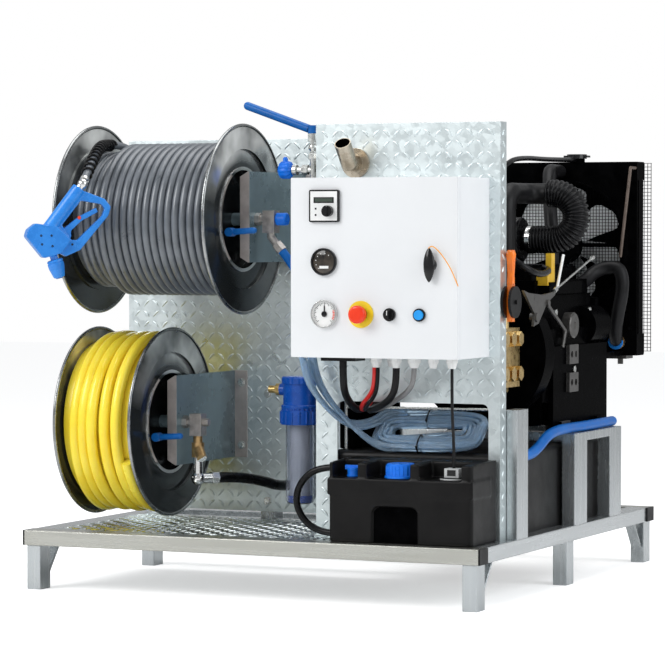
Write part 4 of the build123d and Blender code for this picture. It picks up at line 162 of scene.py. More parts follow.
# %% Lamps
KEY_LIGHT = 118.0
SIDE_LIGHT = 60.0
TOP_LIGHT = 55.0


def soft_lamp(name, place, target, size, power, tint=(1.0, 1.0, 1.0)):
    lamp = bpy.data.lights.new(name, "AREA")
    lamp.size = size
    lamp.energy = power
    lamp.color = tint
    held = placed(name, lamp)
    held.location = place
    look = Vector(target) - Vector(place)
    held.rotation_euler = look.to_track_quat("-Z", "Y").to_euler()


soft_lamp("key_lamp", (-2.2, -3.6, 3.0), (0.0, 0.0, 0.6), 2.4, KEY_LIGHT)
soft_lamp("side_lamp", (3.6, -0.6, 2.0), (0.2, 0.0, 0.5), 2.6, SIDE_LIGHT, (0.94, 0.97, 1.0))
soft_lamp("top_lamp", (0.2, 0.2, 3.6), (0.0, 0.0, 0.5), 2.6, TOP_LIGHT)

# %% Floor
FLOOR_REACH = 14.0
FLOOR_GLOW = 0.5


def studio_floor():
    bm = bmesh.new()
    bmesh.ops.create_grid(bm, x_segments=1, y_segments=1, size=FLOOR_REACH)
    mesh = bpy.data.meshes.new("studio_floor")
    bm.to_mesh(mesh)
    bm.free()
    floor = placed("studio_floor", mesh)
    paint = bpy.data.materials.new("floor_white")
    paint.use_nodes = True
    tree = paint.node_tree
    shader = tree.nodes["Principled BSDF"]
    shader.inputs["Base Color"].default_value = (0.95, 0.95, 0.95, 1.0)
    shader.inputs["Roughness"].default_value = 0.9
    shader.inputs["Specular IOR Level"].default_value = 0.1
    glow = add(tree, "ShaderNodeEmission", Strength=FLOOR_GLOW)
    both = add(tree, "ShaderNodeAddShader")
    light = add(tree, "ShaderNodeLightPath")
    mixed = add(tree, "ShaderNodeMixShader")
    wire(tree, (shader.outputs[0], both.inputs[0]), (glow.outputs[0], both.inputs[1]),
         (light.outputs["Is Camera Ray"], mixed.inputs["Fac"]), (shader.outputs[0], mixed.inputs[1]),
         (both.outputs[0], mixed.inputs[2]),
         (mixed.outputs[0], tree.nodes["Material Output"].inputs["Surface"]))
    mesh.materials.append(paint)


studio_floor()
print("studio: three lamps and a floor")

# %% [markdown]
# ## Shared surface effects
# Real sheet, paint and plastic are never one flat colour. Three effects are used all over the machine,
# so each is a node group with named inputs: a grain that drifts between two colours and two roughness
# values, the crystal spangle of hot-dip zinc, and a painted sheen for polished dishes, which is painted
# reflection: pale where the surface faces up and dark where it faces down.


# %% Group helpers
def new_effect(name, *more):
    """An empty group with the sockets that all effects share, and more inputs where asked."""
    colour, value = "NodeSocketColor", "NodeSocketFloat"
    group = bpy.data.node_groups.new(name, "ShaderNodeTree")
    shared = (("Colour A", colour), ("Colour B", colour), ("Rough A", value), ("Rough B", value),
              ("Patch", value))
    for label, kind in shared + more:
        group.interface.new_socket(label, in_out="INPUT", socket_type=kind)
    for label, kind in (("Colour", colour), ("Roughness", value), ("Height", value)):
        group.interface.new_socket(label, in_out="OUTPUT", socket_type=kind)
    return group, group.nodes.new("NodeGroupInput"), group.nodes.new("NodeGroupOutput")


def drift(group, given, put, colour_factor, rough_factor):
    """Mix the two colours and the two roughness values by their factors, into the outputs."""
    for kind, labels, factor, (first, second, result) in (
            ("RGBA", ("Colour A", "Colour B", "Colour"), colour_factor, (6, 7, 2)),
            ("FLOAT", ("Rough A", "Rough B", "Roughness"), rough_factor, (2, 3, 0))):
        mix = add(group, "ShaderNodeMix")
        mix.data_type = kind
        wire(group, (factor, mix.inputs[0]), (given.outputs[labels[0]], mix.inputs[first]),
             (given.outputs[labels[1]], mix.inputs[second]), (mix.outputs[result], put.inputs[labels[2]]))


# %% Grain effect
def make_grain():
    group, given, put = new_effect("grain", ("Fine", "NodeSocketFloat"), ("Stretch", "NodeSocketVector"))
    place = add(group, "ShaderNodeTexCoord")
    mapping = add(group, "ShaderNodeMapping")
    patches = add(group, "ShaderNodeTexNoise", Detail=4.0, Roughness=0.6)
    fine = add(group, "ShaderNodeTexNoise", Detail=2.0)
    spread = add(group, "ShaderNodeMapRange", From_Min=0.3, From_Max=0.7)
    wire(group, (place.outputs["Object"], mapping.inputs["Vector"]),
         (given.outputs["Stretch"], mapping.inputs["Scale"]))
    for texture, scale in ((patches, "Patch"), (fine, "Fine")):
        wire(group, (mapping.outputs["Vector"], texture.inputs["Vector"]),
             (given.outputs[scale], texture.inputs["Scale"]))
    wire(group, (patches.outputs["Fac"], spread.inputs["Value"]),
         (fine.outputs["Fac"], put.inputs["Height"]))
    drift(group, given, put, spread.outputs[0], spread.outputs[0])
    return group


GRAIN = make_grain()


# %% Spangle effect
def make_spangle():
    group, given, put = new_effect("spangle")
    place = add(group, "ShaderNodeTexCoord")
    crystals = add(group, "ShaderNodeTexVoronoi", Randomness=1.0)
    cloud = add(group, "ShaderNodeTexNoise", Scale=9.0)
    blend = add(group, "ShaderNodeMix")
    blend.inputs[0].default_value = 0.45
    split = add(group, "ShaderNodeSeparateColor")
    for texture in (crystals, cloud):
        wire(group, (place.outputs["Object"], texture.inputs["Vector"]))
    wire(group, (given.outputs["Patch"], crystals.inputs["Scale"]),
         (crystals.outputs["Color"], split.inputs[0]), (split.outputs[0], blend.inputs[2]),
         (cloud.outputs["Fac"], blend.inputs[3]), (blend.outputs[0], put.inputs["Height"]))
    drift(group, given, put, blend.outputs[0], blend.outputs[0])
    return group


SPANGLE = make_spangle()


# %% Painted sheen effect
def make_painted_sheen():
    """Painted reflection for polished dishes: dark where the surface leans down, pale in patches where it leans up to
    the light.
    """
    group, given, put = new_effect("painted_sheen")
    surface = add(group, "ShaderNodeNewGeometry")
    split = add(group, "ShaderNodeSeparateXYZ")
    # How far the surface faces up sets the painted reflection: pale facing up, dark facing down.
    painted_sheen_lean = add(group, "ShaderNodeMapRange", From_Min=0.03, From_Max=0.13)
    cloud = add(group, "ShaderNodeTexNoise", Detail=3.0)
    patches = add(group, "ShaderNodeMapRange", From_Min=0.36, From_Max=0.62, To_Min=0.10)
    both = add(group, "ShaderNodeMath")
    both.operation = "MULTIPLY"
    wire(group, (surface.outputs["Normal"], split.inputs[0]), (split.outputs["Z"], painted_sheen_lean.inputs["Value"]),
         (surface.outputs["Position"], cloud.inputs["Vector"]),
         (given.outputs["Patch"], cloud.inputs["Scale"]), (cloud.outputs["Fac"], patches.inputs["Value"]),
         (painted_sheen_lean.outputs[0], both.inputs[0]), (patches.outputs[0], both.inputs[1]),
         (cloud.outputs["Fac"], put.inputs["Height"]))
    drift(group, given, put, both.outputs[0], cloud.outputs["Fac"])
    return group


PAINTED_SHEEN = make_painted_sheen()
print("effects:", GRAIN.name, SPANGLE.name, PAINTED_SHEEN.name)

# %% [markdown]
# ## Finishes
# One function makes a finish from an effect and a Principled shader. The effect gives the colour,
# the roughness and a fine bump; a Bevel node rounds the sharp CAD edges so that they catch light.

# %% Finish maker
BUMP_DEPTH = 0.001
finishes = {}


def finish(name, low, high, rough, metal=0.0, patch=30.0, fine=400.0, bump=0.04, edge=0.0012,
           stretch=(1.0, 1.0, 1.0), effect=GRAIN, **sockets):
    paint = bpy.data.materials.new(name)
    paint.use_nodes = True
    tree = paint.node_tree
    shader = tree.nodes["Principled BSDF"]
    grain = add(tree, "ShaderNodeGroup")
    grain.node_tree = effect
    values = {"Colour A": (*low, 1.0), "Colour B": (*high, 1.0), "Rough A": rough[0], "Rough B": rough[1],
              "Patch": patch, "Fine": fine, "Stretch": stretch}
    for label, value in values.items():
        if label in grain.inputs:
            grain.inputs[label].default_value = value
    relief = add(tree, "ShaderNodeBump", Strength=bump, Distance=BUMP_DEPTH)
    wire(tree, (grain.outputs["Colour"], shader.inputs["Base Color"]),
         (grain.outputs["Roughness"], shader.inputs["Roughness"]),
         (grain.outputs["Height"], relief.inputs["Height"]), (relief.outputs["Normal"], shader.inputs["Normal"]))
    if edge:
        soften = add(tree, "ShaderNodeBevel", Radius=edge)
        soften.samples = 4
        wire(tree, (soften.outputs["Normal"], relief.inputs["Normal"]))
    shader.inputs["Metallic"].default_value = metal
    for label, value in sockets.items():
        shader.inputs[label.replace("_", " ")].default_value = value
    finishes[name] = paint


# %% Metal finishes
DRAWN = 0.06
finish("galvanised", (0.47, 0.50, 0.515), (0.60, 0.63, 0.64), (0.18, 0.32), 0.9, patch=60.0, bump=0.01,
       edge=0.004, stretch=(1.0, 1.0, DRAWN))
# The next two finishes are one galvanised steel in lit and shaded copies: the first, for the side rails, is painted
# lighter; the second, for the front and rear rails, is painted darker and warmer, for how the light falls on their
# faces.
finish("side_zinc_painted_light", (0.50, 0.525, 0.535), (0.64, 0.665, 0.675), (0.18, 0.32), 0.9, patch=60.0, bump=0.01,
       edge=0.004, stretch=(1.0, DRAWN, 1.0))
finish("rail_zinc_painted_shade", (0.38, 0.38, 0.345), (0.52, 0.52, 0.48), (0.18, 0.30), 0.9, patch=60.0, bump=0.01,
       edge=0.005, stretch=(DRAWN, 1.0, 1.0))
finish("tread_zinc", (0.60, 0.67, 0.68), (0.78, 0.85, 0.86), (0.24, 0.42), 0.85, patch=75.0, effect=SPANGLE)
finish("deck_zinc", (0.36, 0.41, 0.41), (0.60, 0.66, 0.66), (0.18, 0.34), 0.9, patch=60.0, effect=SPANGLE)
finish("panel_lug", (0.60, 0.67, 0.68), (0.78, 0.85, 0.86), (0.36, 0.50), 0.85, patch=75.0)
finish("worn_lug", (0.74, 0.79, 0.78), (0.90, 0.93, 0.92), (0.16, 0.28), 1.0, patch=60.0)
finish("zinc_plate", (0.55, 0.56, 0.54), (0.72, 0.73, 0.71), (0.20, 0.34), 1.0, patch=60.0)
finish("bright_steel", (0.66, 0.66, 0.65), (0.82, 0.82, 0.81), (0.12, 0.22), 1.0, patch=40.0, bump=0.01)
# The reel discs take the painted sheen: painted reflection, pale in patches where a disc faces up and dark where it
# faces down.
finish("polished_reel_painted_sheen", (0.042, 0.048, 0.050), (0.80, 0.82, 0.80), (0.10, 0.24), 0.6, patch=7.0, bump=0.004,
       edge=0.0, effect=PAINTED_SHEEN)
finish("rim_steel", (0.22, 0.23, 0.23), (0.40, 0.41, 0.41), (0.20, 0.32), 1.0, bump=0.01)
finish("tail_pipe", (0.36, 0.30, 0.22), (0.58, 0.52, 0.43), (0.20, 0.36), 1.0)
finish("brass", (0.55, 0.36, 0.12), (0.80, 0.60, 0.28), (0.22, 0.38), 1.0, patch=80.0)
finish("bronze", (0.44, 0.27, 0.11), (0.66, 0.45, 0.22), (0.30, 0.46), 0.9, patch=90.0)
finish("swivel_grey", (0.42, 0.395, 0.37), (0.62, 0.58, 0.55), (0.30, 0.44), 0.8, patch=80.0)
finish("dark_steel", (0.06, 0.058, 0.055), (0.13, 0.125, 0.12), (0.26, 0.42), 0.7, patch=60.0)
finish("stay_brown", (0.10, 0.075, 0.06), (0.17, 0.13, 0.11), (0.4, 0.5), 0.4, patch=40.0)

# %% Painted finishes
finish("cabinet_paint", (0.755, 0.77, 0.785), (0.785, 0.80, 0.815), (0.36, 0.42), patch=6.0, fine=900.0,
       bump=0.03)
finish("slate_paint", (0.170, 0.240, 0.270), (0.260, 0.355, 0.395), (0.22, 0.36), 0.5, patch=9.0)
finish("bracket_edge", (0.46, 0.415, 0.395), (0.62, 0.57, 0.545), (0.30, 0.42), 0.4)
finish("engine_black", (0.0006, 0.0006, 0.0007), (0.0025, 0.0025, 0.0028), (0.16, 0.34), bump=0.12,
       Specular_IOR_Level=0.004)
finish("gear_plate", (0.62, 0.63, 0.62), (0.70, 0.71, 0.70), (0.4, 0.5), 0.5, patch=20.0)
finish("throttle_orange", (0.84, 0.16, 0.006), (0.92, 0.22, 0.01), (0.18, 0.28))

# %% Plastic finishes
finish("black_plastic", (0.003, 0.003, 0.0033), (0.007, 0.007, 0.0075), (0.30, 0.48), patch=25.0, fine=700.0,
       bump=0.08, Specular_IOR_Level=0.18)
finish("tank_black", (0.0030, 0.0028, 0.0030), (0.0075, 0.0070, 0.0070), (0.30, 0.48), patch=14.0, fine=350.0,
       bump=0.10, Specular_IOR_Level=0.17)
finish("gloss_black", (0.004, 0.004, 0.0045), (0.008, 0.008, 0.009), (0.12, 0.22), bump=0.02,
       Specular_IOR_Level=0.40)
finish("grey_plastic", (0.44, 0.45, 0.45), (0.56, 0.57, 0.57), (0.40, 0.52), patch=40.0)
finish("white_plastic", (0.76, 0.77, 0.76), (0.84, 0.84, 0.83), (0.35, 0.45), patch=40.0)
finish("fan_grey", (0.80, 0.82, 0.83), (0.90, 0.92, 0.93), (0.35, 0.5), patch=20.0)
finish("blue_plastic", (0.014, 0.185, 0.62), (0.026, 0.255, 0.77), (0.20, 0.34), bump=0.05)
finish("cap_blue", (0.004, 0.14, 0.68), (0.008, 0.19, 0.84), (0.22, 0.34), bump=0.05,
       Specular_IOR_Level=0.3)
finish("lever_blue", (0.002, 0.085, 0.32), (0.004, 0.125, 0.44), (0.26, 0.38), bump=0.04,
       Specular_IOR_Level=0.3)
finish("filter_blue", (0.003, 0.072, 0.42), (0.005, 0.105, 0.54), (0.20, 0.32), bump=0.03)
finish("button_blue", (0.01, 0.30, 0.80), (0.02, 0.36, 0.88), (0.2, 0.3))
finish("stop_red", (0.80, 0.030, 0.004), (0.88, 0.05, 0.008), (0.20, 0.30))
finish("stop_yellow", (0.88, 0.62, 0.01), (0.92, 0.68, 0.02), (0.32, 0.40))
finish("lamp_yellow", (0.62, 0.36, 0.01), (0.74, 0.46, 0.02), (0.3, 0.4), patch=40.0)
finish("display_green", (0.045, 0.065, 0.052), (0.06, 0.08, 0.062), (0.12, 0.18), patch=60.0, bump=0.0)
finish("meter_face", (0.010, 0.009, 0.008), (0.085, 0.068, 0.052), (0.06, 0.12), patch=45.0, bump=0.0)

# %% Rubber and hose finishes
finish("black_rubber", (0.005, 0.005, 0.0055), (0.011, 0.011, 0.012), (0.34, 0.50), fine=600.0,
       bump=0.08, Specular_IOR_Level=0.20)
finish("gloss_rubber", (0.003, 0.003, 0.0035), (0.007, 0.007, 0.008), (0.20, 0.32), bump=0.04,
       Specular_IOR_Level=0.20)
finish("grey_hose", (0.078, 0.090, 0.106), (0.140, 0.156, 0.178), (0.27, 0.38), patch=25.0, fine=800.0,
       bump=0.05, edge=0.0, Specular_IOR_Level=0.95)
finish("yellow_hose", (0.92, 0.68, 0.03), (0.98, 0.80, 0.075), (0.16, 0.28), patch=10.0, bump=0.03, edge=0.0,
       Subsurface_Weight=0.08)
finish("blue_hose", (0.002, 0.10, 0.40), (0.004, 0.14, 0.50), (0.30, 0.44), edge=0.0,
       Specular_IOR_Level=0.25)
finish("lead_red", (0.62, 0.012, 0.01), (0.70, 0.02, 0.015), (0.3, 0.4), edge=0.0)
finish("lead_grey", (0.20, 0.20, 0.20), (0.26, 0.26, 0.26), (0.4, 0.5), edge=0.0)
finish("cord_orange", (0.85, 0.33, 0.02), (0.92, 0.40, 0.03), (0.4, 0.5), edge=0.0)

# %% Clear finishes
finish("clear_hose", (0.46, 0.65, 0.84), (0.60, 0.77, 0.92), (0.10, 0.18), patch=40.0, edge=0.0, IOR=1.30,
       Transmission_Weight=0.72)
finish("clear_bowl", (0.80, 0.84, 0.95), (0.86, 0.89, 0.98), (0.05, 0.10), patch=10.0, bump=0.0, IOR=1.25,
       Transmission_Weight=0.92)
print("finishes:", len(finishes))

# %% [markdown]
# ## Dressing the solids
# A solid that is one material only needs its material slot changed. Some nodes hold several materials,
# such as a reel with a polished disc and a black hub. Those are copied, each face of the copy gets the
# finish of its place, and the copy stands for the node.

# %% Plain nodes
PLAIN = {
    "galvanised": ("legs", "frame_posts"),
    "tread_zinc": ("reel_panel",),
    "deck_zinc": ("deck_plate",),
    "zinc_plate": ("panel_bolts", "bypass_valve"),
    "black_plastic": ("rail_end_caps", "drive_belt"),
    "gloss_rubber": ("air_cleaner",),
    "tank_black": ("water_tank",),
    "cap_blue": ("tank_cap", "tank_tap"),
    "lever_blue": ("pressure_brake_lever", "water_brake_lever", "bypass_lever"),
    "cabinet_paint": ("cabinet_shell", "cabinet_door"),
    "gloss_black": ("controller_knob", "gauge_pointer", "mode_switch", "radiator_cap"),
    "stop_red": ("estop_button",),
    "button_blue": ("start_button",),
    "clear_bowl": ("filter_bowl",),
    "engine_black": ("crank_pulley", "alternator_pulley"),
    "throttle_orange": ("throttle_lever",),
}
for key, names in PLAIN.items():
    for name in names:
        nodes[name].data.materials.clear()
        nodes[name].data.materials.append(finishes[key])
print("plain nodes:", sum(len(names) for names in PLAIN.values()))


# %% Dressing helpers
def carried(name, data, body, key=None):
    """A new object from a mesh or a curve, tied to a body, with a finish if one is named."""
    if key:
        data.materials.append(finishes[key])
    made = placed(name, data)
    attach(made, body)
    return made


def dress(name, pick):
    """Copy a node, give each face the finish that pick(centre) names, and let the copy stand for it."""
    source = nodes[name]
    mesh = source.data.copy()
    mesh.materials.clear()
    keys = []
    for face in mesh.polygons:
        key = pick(face.center)
        if key not in keys:
            keys.append(key)
            mesh.materials.append(finishes[key])
        face.material_index = keys.index(key)
    dressed = carried(name + "_dressed", mesh, source["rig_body"])
    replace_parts(dressed, name)
    return dressed


def behind(y):
    """How far back a place is, as a Blender coordinate."""
    return spot(0, y, 0).y


def leftward(x):
    """How far across a place is, as a Blender coordinate."""
    return spot(x, 0, 0).x


# %% Reels
REEL_LINE = 225.0
PRESSURE_HEIGHT, WATER_HEIGHT = 860.0, 385.0
LEFT_DISCS, DISC_SHEET = 1051.8, 3.2
CORE = (0.1165, 0.1222)
SLEEVE = (0.1223, 0.19)
DISC_FLAT = 0.1225
RIM = 0.2160
DISH = 0.16
FACES_SIDE = 0.98


def reel_finish(height, inner_disc, hose):
    """Bright rims, polished discs with a painted reflection, a black hub and the inner layers of hose between the
    discs.
    """
    axle = Vector((FRONT_FACE + REEL_LINE, height)) / 1000.0

    def pick(at):
        radius = (Vector((at.y, at.z)) - axle).length
        between_discs = leftward(LEFT_DISCS) < at.x < leftward(inner_disc + DISC_SHEET)
        if between_discs and SLEEVE[0] < radius < SLEEVE[1]:
            return hose
        if radius > RIM:
            return "rim_steel"
        if CORE[0] < radius < CORE[1]:
            return "bright_steel"
        return "gloss_black" if radius <= CORE[0] else "polished_reel_painted_sheen"
    return pick


def dished(reel, height):
    """Lean the shading of the flat discs outward, as on pressed and polished sheet."""
    mesh = reel.data
    axle = spot(0, REEL_LINE, height)
    normals = [normal.vector.copy() for normal in mesh.corner_normals]
    for face in mesh.polygons:
        if abs(face.normal.x) > FACES_SIDE:
            for corner in face.loop_indices:
                out = mesh.vertices[mesh.loops[corner].vertex_index].co - axle
                out.x = 0.0
                if out.length > DISC_FLAT:
                    normals[corner] = (face.normal + out.normalized() * DISH).normalized()
    mesh.shade_smooth()
    mesh.normals_split_custom_set(normals)


# The leaned normals also set where the painted reflection on the discs turns pale.
dished(dress("pressure_reel", reel_finish(PRESSURE_HEIGHT, 681.0, "grey_hose")), PRESSURE_HEIGHT)
dished(dress("water_reel", reel_finish(WATER_HEIGHT, 870.0, "yellow_hose")), WATER_HEIGHT)
print("reels dressed")

# %% Nodes of two finishes
SENDER_FOOT, EDGE_TRIM, LARGE_GLAND = 0.2881, 0.5405, 0.2435
dress("reel_brackets", lambda at: "slate_paint" if behind(191.2) < at.y < behind(496) else "bracket_edge")
# Side rails take the painted-light copy of the zinc, the front and rear rails the painted-shade copy.
dress("base_rails", lambda at: "side_zinc_painted_light" if behind(50.5) < at.y < behind(1155.5) else "rail_zinc_painted_shade")
dress("level_sender", lambda at: "black_plastic" if at.z < SENDER_FOOT else "grey_plastic")
dress("control_panel", lambda at: "black_plastic" if at.x > EDGE_TRIM else "tread_zinc")
dress("cable_glands", lambda at: "black_plastic" if at.x < LARGE_GLAND else "white_plastic")
dress("control_gear", lambda at: "gear_plate" if at.y > behind(189.5) else "grey_plastic")

# %% Exhaust and engine
PIPE_MOUTH = Vector((0.188, -0.44878, 1.0058))
PIPE_WAY = Vector((0.0, -0.642788, 0.766044))
PIPE_BORE = 0.0176
SOOT_DEPTH = 0.03
FEET_TOP, VALVE_LINE, COVER_LINE = 0.3715, 0.641, 0.79


def pipe_finish(at):
    """Bare tail pipe with a sooty bore; the silencer behind the panel is black."""
    along = (at - PIPE_MOUTH).dot(PIPE_WAY)
    radius = (at - PIPE_MOUTH - PIPE_WAY * along).length
    sooty = along > -SOOT_DEPTH and radius < PIPE_BORE
    return "engine_black" if sooty or at.y > behind(245) else "tail_pipe"


def pump_finish(at):
    return "brass" if at.x > leftward(102.5) or at.z > VALVE_LINE else "engine_black"


def engine_finish(at):
    """Rubber feet, and bare blocks on the right side of a black engine."""
    if at.z < FEET_TOP:
        return "black_rubber"
    on_block = at.x > leftward(49.5) and behind(655) < at.y < behind(800)
    return "dark_steel" if on_block else "engine_black"


dress("exhaust_pipe", pipe_finish)
dress("pressure_pump", pump_finish)
dress("engine_block", engine_finish)
dress("cylinder_head", lambda at: "black_rubber" if at.z > COVER_LINE else "engine_black")

# %% Fittings and instruments
STOP, GAUGE = Vector((285, 648)), Vector((373, 648))
STOP_DISC, STEM_RADIUS, STEM_FRONT = 31, 16.5, -0.5905
GAUGE_RADIUS, DIAL_RADIUS = 32, 27.6
SWIVEL_BODY, STRAINER = 0.353, 0.302
BOWL_RING = 0.3725


def swivel_finish(at):
    if at.z > SWIVEL_BODY:
        return "swivel_grey"
    return "bronze" if at.z > STRAINER else "bright_steel"


def filter_finish(at):
    if at.x < leftward(678.5):
        return "brass"
    return "grey_plastic" if at.z < BOWL_RING else "filter_blue"


def door_finish(at):
    """A yellow disc with a black stem, and a white dial in a bright rim; the rest is black."""
    place = Vector(((RIGHT_END / 1000 - at.x) * 1000, at.z * 1000))
    from_stop, from_gauge = place - STOP, place - GAUGE
    if abs(from_stop.x) < STOP_DISC and abs(from_stop.y) < STOP_DISC:
        return "stop_yellow" if at.y > STEM_FRONT or from_stop.length > STEM_RADIUS else "gloss_black"
    if from_gauge.length < GAUGE_RADIUS:
        return "white_plastic" if from_gauge.length < DIAL_RADIUS else "bright_steel"
    return "gloss_black"


dress("reel_swivels", swivel_finish)
dress("filter_head", filter_finish)
dress("door_instruments", door_finish)
dress("radiator", lambda at: "engine_black")
print("dressed nodes done")

# %% [markdown]
# ## Tread plate
# The panels and the deck are steel tread plate: raised lugs, each set square to its neighbours. A bump
# map would vanish at the edges, so the lugs are real: a lens-shaped ring with a smaller raised ring in
# it, repeated on a grid over the whole plate except where the plate is cut away or covered.

# %% Lug maker
LUG_LENGTH = 25.0
LUG_WIDTH = 6.4
LUG_BEND = 2.4
LUG_HEIGHT = 1.7
LUG_PITCH = 25.5
LUG_SIDES = 12


def ring_faces(low, high, count):
    """Faces between two rings of points, from the number of the first point of each."""
    return [(low + n, low + (n + 1) % count, high + (n + 1) % count, high + n) for n in range(count)]


def smooth_piece(name, verts, faces, key):
    mesh = bpy.data.meshes.new(name)
    mesh.from_pydata(verts, [], faces)
    mesh.shade_smooth()
    return carried(name, mesh, "skid", key)


def lug_ring(share):
    """Outline of a lug, shrunk by a share, as a lens lying along its length."""
    ring = []
    for number in range(LUG_SIDES):
        angle = 2 * math.pi * number / LUG_SIDES
        along = math.cos(angle)
        across = math.copysign(abs(math.sin(angle)) ** 1.25, math.sin(angle))
        bow = LUG_BEND * (0.5 - (along * share) ** 2)
        ring.append((along * LUG_LENGTH / 2 * share, across * LUG_WIDTH / 2 * share + bow))
    return ring


def tread_lugs(name, corner, across, up, out, size, covered, key="panel_lug"):
    """Lugs over a plate: from a corner, along two directions, standing out of it."""
    verts, faces = [], []
    columns = int(size[0] / LUG_PITCH)
    rows = int(size[1] / LUG_PITCH)
    margin = ((size[0] - (columns - 1) * LUG_PITCH) / 2, (size[1] - (rows - 1) * LUG_PITCH) / 2)
    for column in range(columns):
        for row in range(rows):
            u, v = margin[0] + column * LUG_PITCH, margin[1] + row * LUG_PITCH
            if covered(u, v):
                continue
            turn = math.radians(45 if (column + row) % 2 else -45)
            first = len(verts)
            for share, height in ((1.0, -0.1), (0.72, 0.8 * LUG_HEIGHT), (0.40, LUG_HEIGHT)):
                for along, over in lug_ring(share):
                    pu = u + along * math.cos(turn) - over * math.sin(turn)
                    pv = v + along * math.sin(turn) + over * math.cos(turn)
                    verts.append(corner + (across * pu + up * pv + out * height) / 1000.0)
            for ring in range(2):
                low = first + ring * LUG_SIDES
                faces += ring_faces(low, low + LUG_SIDES, LUG_SIDES)
            faces.append(tuple(range(first + 2 * LUG_SIDES, first + 3 * LUG_SIDES)))
    smooth_piece(name, verts, faces, key)
    print(name, len(faces) // (2 * LUG_SIDES + 1), "lugs")


# %% Lugs on the plates and the flange
LEFTWARD, RIGHTWARD = Vector((-1, 0, 0)), Vector((1, 0, 0))
UPWARD, FORWARD, BACKWARD = Vector((0, 0, 1)), Vector((0, -1, 0)), Vector((0, 1, 0))
REACH = LUG_LENGTH * 0.40
WINDOW_SIDES, WINDOW_TOP = (58, 428), 444
CABINET_SIDES, CABINET_HEIGHTS = (62, 450), (557, 945)
PIPE_HOLE, PIPE_COLLAR = Vector((382, 987)), 36
INLET_HOLE, INLET_RADIUS = Vector((688, 220)), 14


def over_window(u, v):
    """On the control panel: the window, the exhaust collar and the part behind the cabinet."""
    x, z = 30 + u, 138 + v
    in_window = WINDOW_SIDES[0] - REACH < x < WINDOW_SIDES[1] + REACH and z < WINDOW_TOP + REACH
    near_pipe = (Vector((x, z)) - PIPE_HOLE).length < PIPE_COLLAR + REACH
    under_cabinet = (CABINET_SIDES[0] < x < CABINET_SIDES[1]
                     and CABINET_HEIGHTS[0] < z < CABINET_HEIGHTS[1])
    return in_window or near_pipe or under_cabinet


def over_reel_panel(u, v):
    """On the reel panel: the hole for the inlet hose."""
    x, z = 520 + u, 155 + v
    return (Vector((x, z)) - INLET_HOLE).length < INLET_RADIUS + REACH


tread_lugs("control_panel_lugs", spot(30, 200, 138), LEFTWARD, UPWARD, FORWARD, (452, 939), over_window)
tread_lugs("reel_panel_lugs", spot(520, 505, 155), LEFTWARD, UPWARD, FORWARD, (605, 899), over_reel_panel)
tread_lugs("deck_lugs", spot(54, 50, 138), LEFTWARD, BACKWARD, UPWARD, (1032, 457), lambda u, v: False, "worn_lug")
tread_lugs("flange_lugs", spot(30, 203, 138), BACKWARD, UPWARD, RIGHTWARD, (34, 939),
           lambda u, v: abs(v + 138 - 673) < 52)

# %% [markdown]
# ## Hoses and cables
# A hose is a curve with a round bevel. Its line is a NURBS spline whose control points are the route of
# the drawing, so it bends smoothly and keeps the hose's real thickness all the way.


# %% Hose maker
def flexible(name, points, radius, key, body="skid", order=3):
    """A round hose of a radius in millimetres along control points."""
    curve = bpy.data.curves.new(name, "CURVE")
    curve.dimensions = "3D"
    curve.bevel_depth = radius / 1000.0
    curve.bevel_resolution = 5
    curve.resolution_u = 10
    curve.use_fill_caps = True
    spline = curve.splines.new("NURBS")
    spline.points.add(len(points) - 1)
    for place, point in zip(spline.points, points):
        place.co = (*point, 1.0)
    spline.order_u = order
    spline.use_endpoint_u = True
    return carried(name, curve, body, key)


# %% Pressure hose on the upper reel
POINTS_A_TURN = 32
SPLINE_SHRINK = 1.0 - (2 * math.pi / POINTS_A_TURN) ** 2 / 6


def around_reel(place, height, radius, angle):
    """A control point round a reel, set out so that the spline itself keeps the radius."""
    radius /= SPLINE_SHRINK
    return spot(place, REEL_LINE - radius * math.sin(angle), height + radius * math.cos(angle))


def ease(share):
    share = min(max(share, 0.0), 1.0)
    return share * share * (3 - 2 * share)


def pressure_turn(angle):
    late = ease(angle / math.pi + 1)
    return around_reel(975 + 19 * angle / (2 * math.pi) + 32 * late, PRESSURE_HEIGHT, 169 + 5 * late, angle)


def under_turn(angle):
    """The layer below, which shows beside the left disc."""
    return around_reel(1040 + 18.5 * angle / (2 * math.pi), PRESSURE_HEIGHT, 150.5, angle)


def backwards(turn, count):
    return [turn(-2 * math.pi * number / POINTS_A_TURN) for number in range(int(count * POINTS_A_TURN), -1, -1)]


GREY_RADIUS = 9.0
TAIL_START = (1007.3, 207, 1034)
turns = backwards(pressure_turn, 14.75)
pressure_winding = flexible("pressure_winding", turns + [spot(*TAIL_START)], GREY_RADIUS, "grey_hose", order=4)
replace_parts(pressure_winding, "pressure_hose")
under_winding = flexible("under_winding", backwards(under_turn, 4), GREY_RADIUS, "grey_hose", order=4)
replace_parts(under_winding, "pressure_hose")
print("pressure hose:", len(turns), "points on the reel")

# %% Water hose on the lower reel
WATER_TURNS = 5.5


def water_turn(angle):
    """Loose turns: the place and the radius swing a little as the hose goes round."""
    place = 962.5 + 27 * (angle - WATER_TURNS * math.pi) / (2 * math.pi) + 4.5 * math.sin(0.77 * angle)
    radius = 198.5 + 2.5 * math.sin(1.37 * angle + 1.0)
    return around_reel(place, WATER_HEIGHT, radius, angle + math.radians(115))


steps = range(int(WATER_TURNS * POINTS_A_TURN) + 1)
turns = [water_turn(2 * math.pi * number / POINTS_A_TURN) for number in steps]
water_winding = flexible("water_winding", turns, 13.0, "yellow_hose", "water_drum", order=4)
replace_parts(water_winding, "water_hose")
print("water hose:", len(turns), "points on the reel")

